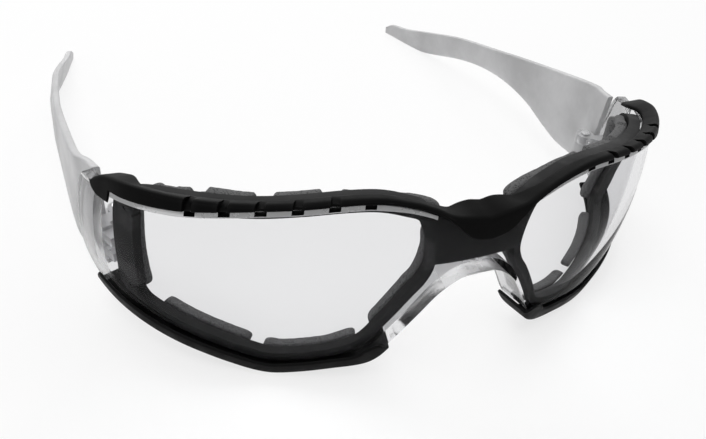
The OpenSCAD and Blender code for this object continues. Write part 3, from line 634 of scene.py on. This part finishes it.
def brow_outline(s):
    """Outline of the brow guard at each s, as (z, off), with its vent fins cut in."""
    a = np.abs(s)
    hook_s = BROW_REACH - HOOK_L
    turned = np.clip((a - BROW_REACH + END_L) / END_FULL_L, 0, 1)
    rounded = 1 - np.sqrt(1 - turned**2)
    hook = HOOK_H * ease(hook_s, hook_s + HOOK_EDGE, a)
    z0 = low_z(s) - hook * (1 - rounded) + rounded * END_LIFT
    z2 = crease_z(s) - END_DROP * rounded
    past = a - BROW_REACH
    over_wing = ease(*WING_NEAR, past) * (1 - ease(*WING_FAR, past))
    d = BROW_D + (BROW_NOSE_D - BROW_D) * (1 - ease(*NOSE_RUN, a)) + BROW_END_D * over_wing
    rise = -BACK_DROP + NOSE_RISE * (1 - ease(*NOSE_RISE_RUN, a))
    z3 = np.maximum(z2 + rise, top_z(s) + OVER_LENS)
    proud = BROW_PROUD - THINNED * ease(*THINNED_RUN, past)
    zt = top_z(s) + SEAT
    lip = brow_lip
    cut = np.zeros_like(s)
    for v in notches:
        u = (a - v + NOTCH_W / 2) / (NOTCH_W - NOTCH_EDGE)
        # a hair past 1, so that rounding can't drop the notch's last station
        cut = np.where((u > 0) & (u < 1.001), np.maximum(u, 0) ** FIN_CURVE, cut)
    face = proud + (FIN_FACE - proud) * cut
    slope_z = (z2 + (z3 - z2) * (FIN_DEPTH + proud - CREASE_IN)
               / (d - BACK_IN + proud - CREASE_IN))
    return stacked([
        (z0 + BROW_FOOT, -face), (z0 + FACE_LOW, -face),
        (z2 - FACE_TOP + (zt + NOTCH_TOP - z2 + FACE_TOP) * cut, -face),
        (z2 + (slope_z - z2) * cut, -proud + CREASE_IN + (FIN_DEPTH + proud - CREASE_IN) * cut),
        (z3, d - BACK_IN), (z3 - BACK_DOWN, d),
        (zt, d), (zt, d - BACK_IN), (zt, -lip + LIP_IN), (zt - LIP_DOWN, -lip),
        (z0 + LIP_FOOT, -lip), (z0, -lip - LIP_PROUD)])


def brow_stops():
    """Distances of the outlines along the lens, close together at notches and ends."""
    fine = list(np.arange(0, BROW_REACH, BROW_STEP))
    for v in notches:
        fine += list(v - NOTCH_W / 2 + (NOTCH_W - NOTCH_EDGE) * np.linspace(0, 1, NOTCH_STOPS))
        fine += [v + NOTCH_W / 2]
    hook_s = BROW_REACH - HOOK_L
    fine += list(hook_s + np.linspace(0, HOOK_EDGE, HOOK_STOPS))
    fine += list(BROW_REACH - END_L * (1 - np.sin(np.linspace(0, math.pi / 2, END_STOPS))))
    half = np.unique(np.round(fine, 3))
    half = half[np.concatenate([[True], np.diff(half) > SAME_STOP])]
    return np.concatenate([-half[:0:-1], half])


def build_brow():
    s = brow_stops()
    outline = softened(brow_outline(s), BROW_ROUNDS)
    rings = on_shield(s[:, None], outline[..., 0], outline[..., 1])
    return new_piece("brow_guard_rubber", rings, quad_skin(rings), brow_finish, "brow_guard",
                     crease=50)


# Bottom rims

# From nose end to wing end along the lens; the nose end's lip is taller by a share
RIM_NOSE_S, RIM_STOPS, RIM_END_L, RIM_PAST = 17.8, 150, 2.5, 0.3
NOSE_LIP, NOSE_LIP_RUN = 0.5, (19, 26)
LIP_EDGE, FLOOR_EDGE, SEAT_FRONT, SEAT_FOOT, SEAT_LIP = 0.4, 0.5, 0.2, 0.1, 0.2
RIM_ROUNDS = [.2, .3, .35, .35, .1, .25, .2, .1, .1, .1, .1, .2]


def build_rim(side):
    """A channel that holds the bottom edge, with its front lip tallest at the nose."""
    u = np.linspace(0, 1, RIM_STOPS)
    s = RIM_NOSE_S + (RIM_END - RIM_NOSE_S) * (0.5 - 0.5 * np.cos(u * math.pi))
    n = edge_normal(s)
    q = np.stack([s, bottom_z(s)], -1)
    end = np.minimum(np.minimum(s - RIM_NOSE_S, RIM_END - s) / RIM_END_L, 1)
    lip = RIM_LIP * end_scale(end) * (1 + NOSE_LIP - NOSE_LIP * ease(*NOSE_LIP_RUN, s))
    d = np.maximum(RIM_D, flange_at(s) + RIM_PAST)
    flat = 0 * s
    h = -(RIM_SEAT + RIM_FLOOR) + flat
    seat, proud = -RIM_SEAT + flat, -RIM_PROUD + flat
    outline = softened(stacked([
        (lip, proud + LIP_EDGE), (lip - LIP_EDGE, proud), (h + FLOOR_EDGE, proud),
        (h, proud + FLOOR_EDGE), (h, d / 2), (h, d), (seat, d), (seat, d / 2),
        (seat, SEAT_FRONT + flat), (SEAT_FOOT + flat, seat), (lip - LIP_EDGE, seat),
        (lip, seat - SEAT_LIP)]), RIM_ROUNDS)
    w = q[:, None, :] + n[:, None, :] * outline[..., :1]
    rings = on_side(on_shield(w[..., 0], np.maximum(w[..., 1], BASE_Z), outline[..., 1]), side)
    return new_piece(f"rim_{side}", rings, quad_skin(rings), rim_finish, f"lower_rim_{side}",
                     crease=50)


# Gasket frame

# Corners and the first two runs are distances along the lens, SIDE_RUN from SIDE_S; the other
# two runs are heights
NOSE_GAP, RAIL_DROP = 1.2, 0.7
RING_STEPS, BRIDGE_COLS, BRIDGE_CORNERS = 6, 28, 3
NOSE_CORNERS = (9, 11.2, 13.8, 16.4, 18.6)
LOW_CORNERS = (31, 37, 43, 49, 56, 63, 70)
TOP_CORNERS = (70, 62, 54, 46, 38, 30, 23, 17)
SIDE_HEIGHTS = (17, 23, 28)
SIDE_RUN, NOSE_RAIL_RUN, LOW_TO_TOP, NOSE_TO_TOP = (-7, -1.5), (19, 27), (12, 34), (28, 40)
BRIDGE_FOOT, BRIDGE_SAG, BRIDGE_HALF, BRIDGE_DROP = 0.4, 0.3, 9.6, 0.5
EDGE_DROP, INNER_DROP = 0.3, 0.08


def along_nose(s, reach):
    """Point (s, z) at a distance inside the bottom edge, square to it."""
    return np.array([s, float(bottom_z(s))]) + edge_normal(s) * reach


def ring_corners():
    """Outer corners (s, z) of the rail round one eye, from the nose along the bottom."""
    corners = [along_nose(s, FLANGE_T + NOSE_GAP) for s in NOSE_CORNERS]
    corners += [(22.8, bottom_z(22.8) + 2.3), (26, bottom_z(26) + 0.9)]
    corners += [(s, bottom_z(s) + SEAT) for s in LOW_CORNERS]
    corners += [(76.8, bottom_z(76.8) + 0.4), (SIDE_S, bottom_z(SIDE_S) + 3)]
    corners += [(SIDE_S, z) for z in SIDE_HEIGHTS]
    corners += [(SIDE_S - 0.8, 33), (SIDE_S - 4, top_z(SIDE_S - 4) - 1.4)]
    corners += [(s, top_z(s) - RAIL_DROP) for s in TOP_CORNERS]
    corners += [(12.3, top_z(12.3) - 1), (10, 35.5), (9.6, 28.4)]
    return np.array([[float(s), float(z)] for s, z in corners])


def ring_path():
    """Closed curve through the corners, with RING_STEPS stations from each to the next."""
    p1 = ring_corners()
    p2 = np.roll(p1, -1, 0)
    m1, m2 = (p2 - np.roll(p1, 1, 0)) / 2, (np.roll(p1, -2, 0) - p1) / 2
    u = (np.arange(RING_STEPS) / RING_STEPS)[None, :, None]
    p1, p2, m1, m2 = (a[:, None, :] for a in (p1, p2, m1, m2))
    path = ((2 * u**3 - 3 * u**2 + 1) * p1 + (u**3 - 2 * u**2 + u) * m1
            + (3 * u**2 - 2 * u**3) * p2 + (u**3 - u**2) * m2)
    return path.reshape(-1, 2)


def rail_width(p):
    """Width of the rail at points (s, z), by how near they are to the side and the nose."""
    side = ease(SIDE_S + SIDE_RUN[0], SIDE_S + SIDE_RUN[1], p[:, 0])
    nose = 1 - ease(*NOSE_RAIL_RUN, p[:, 0])
    across = RAIL_LOW + (RAIL_TOP - RAIL_LOW) * ease(*LOW_TO_TOP, p[:, 1])
    outer = across + (RAIL_SIDE - across) * side
    return outer + (RAIL_NOSE + (RAIL_TOP - RAIL_NOSE) * ease(*NOSE_TO_TOP, p[:, 1])
                    - outer) * nose


def bridge_low(s):
    return bottom_z(0) + FLANGE_T + BRIDGE_FOOT + BRIDGE_SAG * (s / BRIDGE_HALF) ** 2


def bridge_high(s):
    return top_z(s) - BRIDGE_DROP


def build_gasket():
    """Two rails, open to each other over the nose, where the bridge joins them."""
    path = ring_path()
    along = np.roll(path, -1, 0) - np.roll(path, 1, 0)
    along /= np.linalg.norm(along, axis=1, keepdims=True)
    left = np.stack([-along[:, 1], along[:, 0]], -1)
    w = rail_width(path)
    flat = 0 * w
    rows = [(flat, gasket_front), (flat, GASKET_D), (w * 0.25, GASKET_D), (w * 0.5, GASKET_D),
            (w * 0.75, GASKET_D - INNER_DROP), (w, GASKET_D - EDGE_DROP),
            (w, gasket_front + EDGE_DROP), (w * 0.5, gasket_front)]
    rings = np.stack([on_shield(path[:, 0] + left[:, 0] * c, path[:, 1] + left[:, 1] * c, off)
                      for c, off in rows], 1)
    m, n = rings.shape[:2]
    count = m * n
    start = m - BRIDGE_CORNERS * RING_STEPS
    span = (BRIDGE_CORNERS - 1) * RING_STEPS
    walls = [(k * n + i, (k + 1) % m * n + i, (k + 1) % m * n + (i + 1) % n, k * n + (i + 1) % n)
             for k in range(m) for i in range(n) if i or not start <= k < start + span]
    faces = walls + [tuple(v + count for v in f[::-1]) for f in walls]

    stations = path[(start + np.arange(span + 1)) % m]
    height = ((stations[:, 1] - bridge_low(stations[:, 0]))
              / (bridge_high(stations[:, 0]) - bridge_low(stations[:, 0])))
    bridge = []
    for j in range(1, BRIDGE_COLS):
        s = (1 - 2 * j / BRIDGE_COLS) * stations[:, 0]
        z = bridge_low(s) + (bridge_high(s) - bridge_low(s)) * height
        bridge.append(np.stack([on_shield(s, z, gasket_front), on_shield(s, z, GASKET_D)], 1))

    def at(j, q, back):
        """Index of the point in bridge column j, row q, in front or at the back."""
        k = (start + q) % m * n + back
        if j == 0:
            return k
        if j == BRIDGE_COLS:
            return count + k
        return 2 * count + ((j - 1) * (span + 1) + q) * 2 + back

    for j in range(BRIDGE_COLS):
        for q in range(span):
            faces += [(at(j, q, 0), at(j, q + 1, 0), at(j + 1, q + 1, 0), at(j + 1, q, 0)),
                      (at(j, q, 1), at(j + 1, q, 1), at(j + 1, q + 1, 1), at(j, q + 1, 1))]
        faces += [(at(j, 0, 0), at(j + 1, 0, 0), at(j + 1, 0, 1), at(j, 0, 1)),
                  (at(j + 1, span, 0), at(j, span, 0), at(j, span, 1), at(j + 1, span, 1))]
    points = np.concatenate([rings.reshape(-1, 3), on_side(rings, "left").reshape(-1, 3),
                             np.array(bridge).reshape(-1, 3)])
    return new_piece("gasket_rail", points, faces, gasket_finish, "gasket_frame",
                     bevel=0.25)


# Foam cushions

# Form of the section and its ends, unevenness, stops, then the path of each cushion
FOAM_POINTS, FOAM_FILL, END_ROUND = 28, 0.85, 2.0
SIDE_POWER, CROWN_POWER, END_DEPTH, MORE_DEPTH = 0.6, 0.7, 0.55, 0.45
UNEVEN, UNEVEN_SCALE, UNEVEN_BIAS, FINER, FINER_SHARE = 0.05, 900.0, 0.6, 2.7, 0.5
PATH_STOPS, SIDE_STOPS, TOP_STOPS = 60, 64, 190
TOP_RUN, TOP_DROP, TOP_OUTER, TOP_NOSE = (8.6, 73), 2.1, 0.5, 1.5
TOP_OUTER_RUN, TOP_NOSE_RUN = (47, 60), (8, 22)
FOAM_SWELL, SWELL_FROM, SWELL_LOSS, SWELL_TO = 0.9, (26, 36), 0.8, (58, 66)
# Channels across the top cushion: distance along the lens, and share of the full depth
CHANNELS = [(33, 1), (46.8, 1), (61, 1), (68.5, 0.25)]
CHANNEL_EDGE = (1.5, 2.4)
SIDE_Z, SIDE_MID_Z, SIDE_BEND, SIDE_IN = (33.4, 8.6), 21, 0.003, 0.3
LOWER_RUNS = (("outer", 48.4, 70.5), ("inner", 23.6, 45.3))
LOWER_RISE, LOWER_NOSE, LOWER_NOSE_RUN = 0.75, 2, (23, 31)
NOSE_FOAM_TOP = [(11.4, 34.5), (10.8, 30.2)]
NOSE_FOAM_S = (9.2, 11, 13, 15.2, 17.6)


def distances(path):
    """Distance along a path at each of its points."""
    return np.concatenate([[0], np.cumsum(np.linalg.norm(np.diff(path, axis=0), axis=1))])


def build_cushion(place, path, width, side, cut=0.0):
    """A crowned strip of foam with rounded sides and ends, a little uneven by nature."""
    run = distances(path)
    along = np.gradient(path, axis=0)
    along /= np.linalg.norm(along, axis=1, keepdims=True)
    left = np.stack([-along[:, 1], along[:, 0]], -1)
    k = end_scale(np.clip(np.minimum(run, run[-1] - run) / END_ROUND, 0, 1))[:, None]
    turn = 2 * math.pi * (np.arange(FOAM_POINTS)[::-1] + 0.5) / FOAM_POINTS
    across = np.sign(np.cos(turn)) * np.abs(np.cos(turn)) ** SIDE_POWER
    deep = np.sign(np.sin(turn)) * np.abs(np.sin(turn)) ** CROWN_POWER
    lowered = np.broadcast_to(cut, run.shape)[:, None] * (across > 0)
    w = across * width / 2 * k - lowered
    off = foam_front + FOAM_T * (END_DEPTH + MORE_DEPTH * k) * (0.5 + 0.5 * deep)
    s = path[:, :1] + left[:, :1] * w
    z = path[:, 1:] + left[:, 1:] * w
    rings = on_side(on_shield(s, z, off), side)
    obj = new_piece(f"pad_{place}_{side}", rings, quad_skin(rings), foam_finish,
                    f"foam_{place}_{side}", crease=75)
    roughen(obj)


def roughen(obj):
    """Moves each point a little in or out, as cut foam is never quite even."""
    mesh = obj.data
    moved = []
    for v in mesh.vertices:
        lift = (noise.noise(v.co * UNEVEN_SCALE)
                + FINER_SHARE * noise.noise(v.co * UNEVEN_SCALE * FINER))
        moved += list(v.co + v.normal * (lift - UNEVEN_BIAS) * UNEVEN / MM)
    mesh.vertices.foreach_set("co", moved)
    mesh.update()


def build_foam(side):
    s = np.linspace(*TOP_RUN, TOP_STOPS)
    drop = (TOP_DROP - TOP_OUTER * ease(*TOP_OUTER_RUN, s)
            - TOP_NOSE * (1 - ease(*TOP_NOSE_RUN, s))
            - FOAM_SWELL * ease(*SWELL_FROM, s) * (1 - SWELL_LOSS * ease(*SWELL_TO, s)))
    cut = np.max([FOAM_CHANNEL * deep * (1 - ease(*CHANNEL_EDGE, np.abs(s - c)))
                  for c, deep in CHANNELS], 0)
    build_cushion("top", np.stack([s, top_z(s) - drop - FOAM_TOP_W / 2], -1), FOAM_TOP_W, side,
                  cut)
    z = np.linspace(*SIDE_Z, SIDE_STOPS)
    s = SIDE_S - SIDE_IN - FOAM_SIDE_W / 2 - SIDE_BEND * (z - SIDE_MID_Z) ** 2
    build_cushion("side", np.stack([s, z], -1), FOAM_SIDE_W, side)
    for label, a, b in LOWER_RUNS:
        s = np.linspace(a, b, PATH_STOPS)
        z = bottom_z(s) + LOWER_RISE + LOWER_NOSE * (1 - ease(*LOWER_NOSE_RUN, s))
        build_cushion(f"lower_{label}", np.stack([s, z], -1), FOAM_LOW_W, side)
    reach = FLANGE_T + NOSE_GAP + FOAM_NOSE_W / 2
    corners = np.array(NOSE_FOAM_TOP + [tuple(along_nose(s, reach)) for s in NOSE_FOAM_S])
    run = distances(corners)
    at = np.linspace(0, run[-1], PATH_STOPS)
    path = np.stack([curve(np.stack([run, corners[:, k]], -1), at) for k in (0, 1)], -1)
    build_cushion("nose", path, FOAM_NOSE_W, side)


# Temples

# Stops along the blade: its front, closer ones over the bend, then on to the rounded tip
BLADE_FRONT, FRONT_STEP, BEND_Y, BEND_STEP = -0.6, 0.4, (0.8, 14.8), 0.75
BLADE_STEP, TIP_L, TIP_STOPS = 1.5, 8, 16
EDGE_ROUND, EDGE_STEPS = 0.6, 5
KNUCKLE_IN = 0.1
KNUCKLE_R = EAR_R - KNUCKLE_IN
# The arm from knuckle to blade: shares of the knuckle's radius, then lengths to its corners
ARM_SIDE, ARM_NEAR, ARM_FAR = 0.4, 0.7, 0.8
ARM_FRONT, ARM_BACK, ARM_INNER, ARM_L, ARM_START = 4.15, 3.15, 4.35, 4.6, 0.3
CIRCLE_SIDES, BORE_TOP = 64, 60


def prism(outline, low, high):
    """Points and faces of a straight prism."""
    n = len(outline)
    points = [(x, y, z) for z in (low, high) for x, y in outline]
    faces = [tuple(range(n))[::-1], tuple(range(n, 2 * n))]
    faces += [(i, (i + 1) % n, n + (i + 1) % n, n + i) for i in range(n)]
    return points, faces


def circle(x, y, r):
    turns = [2 * math.pi * k / CIRCLE_SIDES for k in range(CIRCLE_SIDES)]
    return [(x + r * math.cos(turn), y + r * math.sin(turn)) for turn in turns]


def joined(base, others, operation):
    """Joins or cuts base with others, for good."""
    for other in others:
        step = base.modifiers.new("join", "BOOLEAN")
        step.operation = operation
        step.object = other
        step.solver = "EXACT"
    apply_modifiers(base)
    for other in others:
        bpy.data.objects.remove(other)


def blade_rings():
    """Outlines of the right temple from its front to its tip."""
    y = np.concatenate([[BLADE_FRONT, BLADE_FRONT + FRONT_STEP], np.arange(*BEND_Y, BEND_STEP),
                        np.arange(BEND_Y[1], TEMPLE_LEN - TIP_L, BLADE_STEP),
                        TEMPLE_LEN - TIP_L * (1 - np.sin(np.linspace(0, math.pi / 2,
                                                                     TIP_STOPS)))])
    zt, zb = curve(TEMPLE_TOP, y), np.maximum(curve(TEMPLE_LOW, y), BASE_Z)
    xt, xb = wing_rear[0] - curve(PLAN_TOP, y), wing_rear[0] - curve(PLAN_LOW, y)
    lean = (xt - xb) / (zt - zb)
    levels = [zb, zb + (zt - zb) * 0.25, (zb + zt) / 2, zb + (zt - zb) * 0.75, zt]
    rows = [(-TEMPLE_T, z) for z in levels] + [(0, z) for z in levels[::-1]]
    outline = softened(stacked(rows), EDGE_ROUND, EDGE_STEPS)
    z = outline[..., 1]
    x = xb[:, None] + lean[:, None] * (z - zb[:, None]) + outline[..., 0]
    return np.stack([x, np.broadcast_to(pivot_y + y[:, None], x.shape), z], -1)


def build_temple(side):
    """A blade with its knuckle, bored for the pin."""

    def solid(name, points, faces):
        return new_mesh(name, on_side(np.array(points), side), faces)

    rings = blade_rings()
    low = HINGE_Z - KNUCKLE_H / 2
    high = low + KNUCKLE_H
    blade = solid(f"arm_{side}", rings, quad_skin(rings))
    knuckle = solid("knuckle", *prism(circle(pivot_x, pivot_y, KNUCKLE_R), low, high))
    arm = solid("arm", *prism([
        (pivot_x, pivot_y), (pivot_x + KNUCKLE_R * ARM_SIDE, pivot_y - KNUCKLE_R * ARM_NEAR),
        (wing_rear[0] - ARM_FRONT, pivot_y + BLADE_FRONT + ARM_START),
        (wing_rear[0] - ARM_BACK, pivot_y + ARM_L), (wing_rear[0] - ARM_INNER, pivot_y + ARM_L),
        (pivot_x - KNUCKLE_R * ARM_SIDE, pivot_y + KNUCKLE_R * ARM_FAR)], low, high))
    bore = solid("bore", *prism(circle(pivot_x, pivot_y, pin_bore), 0, BORE_TOP))
    joined(blade, [knuckle, arm], "UNION")
    joined(blade, [bore], "DIFFERENCE")
    soften(blade, width=0.2, angle=50)
    finish_mesh(blade, temple_finish)
    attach(blade, f"{side}_temple")
    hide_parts(f"temple_{side}")


def dress_node(name, finish, width):
    """Keeps a CAD shape, with its finish and softened edges."""
    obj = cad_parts[name]
    add_rounding(obj, width, angle=40)
    finish_mesh(obj, finish)


build_lens()
build_brow()
build_gasket()
for side in ("left", "right"):
    build_rim(side)
    build_foam(side)
    build_temple(side)
    dress_node(f"hinge_block_{side}", hinge_finish, width=0.15)
    dress_node(f"hinge_pin_{side}", pin_finish, width=0.08)

# Floor, light and camera

FLOOR_SIZE, FLOOR_TONE, FLOOR_GLOW = 8.0, 0.88, 0.72
WORLD_LIGHT = 0.35
WHITE = (1, 1, 1, 1)
# The camera as fitted to the photo, its place in metres and its turn in degrees
FOCAL_PX, FRAME_W, SENSOR_W = 773.6, 706, 36.0
CAMERA_AT = (-0.07895, -0.16991, 0.12393)
CAMERA_TURN = {"azimuth": 28.21996, "dip": 37.29295, "roll": 7.66639}


def plainly_seen(tree):
    """1 for rays from the camera, a reflection or a see-through piece, else 0."""
    path = node(tree, "ShaderNodeLightPath")
    first = node(tree, "ShaderNodeMath", operation="MAXIMUM")
    both = node(tree, "ShaderNodeMath", operation="MAXIMUM")
    wire(tree, (path, "Is Camera Ray", first, 0), (path, "Is Glossy Ray", first, 1),
         (first, 0, both, 0), (path, "Is Transmission Ray", both, 1))
    return both


def floor_material():
    """A pale floor that reads nearly white, and keeps the shadow on it."""
    material = bpy.data.materials.new("floor_pale")
    material.use_nodes = True
    tree = material.node_tree
    tree.nodes.clear()
    output = node(tree, "ShaderNodeOutputMaterial")
    cover = node(tree, "ShaderNodeBsdfDiffuse", {"Color": (*[FLOOR_TONE] * 3, 1)})
    shine = node(tree, "ShaderNodeEmission", {"Color": WHITE, "Strength": 1.0})
    share = node(tree, "ShaderNodeMath", {1: FLOOR_GLOW}, operation="MULTIPLY")
    mix = node(tree, "ShaderNodeMixShader")
    wire(tree, (plainly_seen(tree), 0, share, 0), (share, 0, mix, "Fac"), (cover, 0, mix, 1),
         (shine, 0, mix, 2), (mix, 0, output, "Surface"))
    return material


def build_floor():
    half = FLOOR_SIZE / 2
    mesh = bpy.data.meshes.new("floor")
    mesh.from_pydata([(-half, -half, 0), (half, -half, 0), (half, half, 0), (-half, half, 0)],
                     [], [(0, 1, 2, 3)])
    mesh.materials.append(floor_material())
    linked("floor", mesh)


def build_world():
    """Even white surroundings; seen directly or in gloss they are plain white."""
    world = bpy.data.worlds.new("studio")
    bpy.context.scene.world = world
    world.use_nodes = True
    tree = world.node_tree
    tree.nodes.clear()
    output = node(tree, "ShaderNodeOutputWorld")
    lit = node(tree, "ShaderNodeBackground", {"Color": WHITE, "Strength": WORLD_LIGHT})
    shown = node(tree, "ShaderNodeBackground", {"Color": WHITE, "Strength": 1.0})
    mix = node(tree, "ShaderNodeMixShader")
    wire(tree, (plainly_seen(tree), 0, mix, "Fac"), (lit, 0, mix, 1), (shown, 0, mix, 2),
         (mix, 0, output, "Surface"))


def softbox(name, place, target, size, power):
    """An area lamp; lengths in metres, power in watts."""
    lamp = bpy.data.lights.new(name, "AREA")
    lamp.shape = "RECTANGLE"
    lamp.size, lamp.size_y = size
    lamp.energy = power
    obj = linked(name, lamp)
    obj.location = place
    aim = Vector(target) - Vector(place)
    obj.rotation_euler = aim.to_track_quat("-Z", "Y").to_euler()


def build_camera():
    """The photo's camera: azimuth from +Y towards +X, dip below the horizon, then roll."""
    data = bpy.data.cameras.new("camera")
    data.sensor_fit = "HORIZONTAL"
    data.sensor_width = SENSOR_W
    data.lens = FOCAL_PX * SENSOR_W / FRAME_W
    data.clip_start = 0.005
    data.clip_end = 20
    camera = linked("camera", data)
    azimuth, dip, roll = (math.radians(v) for v in CAMERA_TURN.values())
    camera.matrix_world = (Matrix.Translation(CAMERA_AT) @ Matrix.Rotation(-azimuth, 4, "Z")
                           @ Matrix.Rotation(math.pi / 2 - dip, 4, "X")
                           @ Matrix.Rotation(roll, 4, "Z"))
    bpy.context.scene.camera = camera


build_floor()
build_world()
softbox("softbox_over", place=(-0.15, -0.1, 0.9), target=(0, 0, 0), size=(0.7, 0.5), power=3.5)
softbox("softbox_left", place=(-0.9, -0.5, 0.5), target=(0, -0.02, 0.02), size=(0.5, 0.5),
        power=1.6)
softbox("softbox_behind", place=(0.15, 0.75, 0.6), target=(0, 0, 0), size=(1.2, 0.6), power=6.0)
build_camera()
bpy.context.scene.view_settings.view_transform = "Standard"
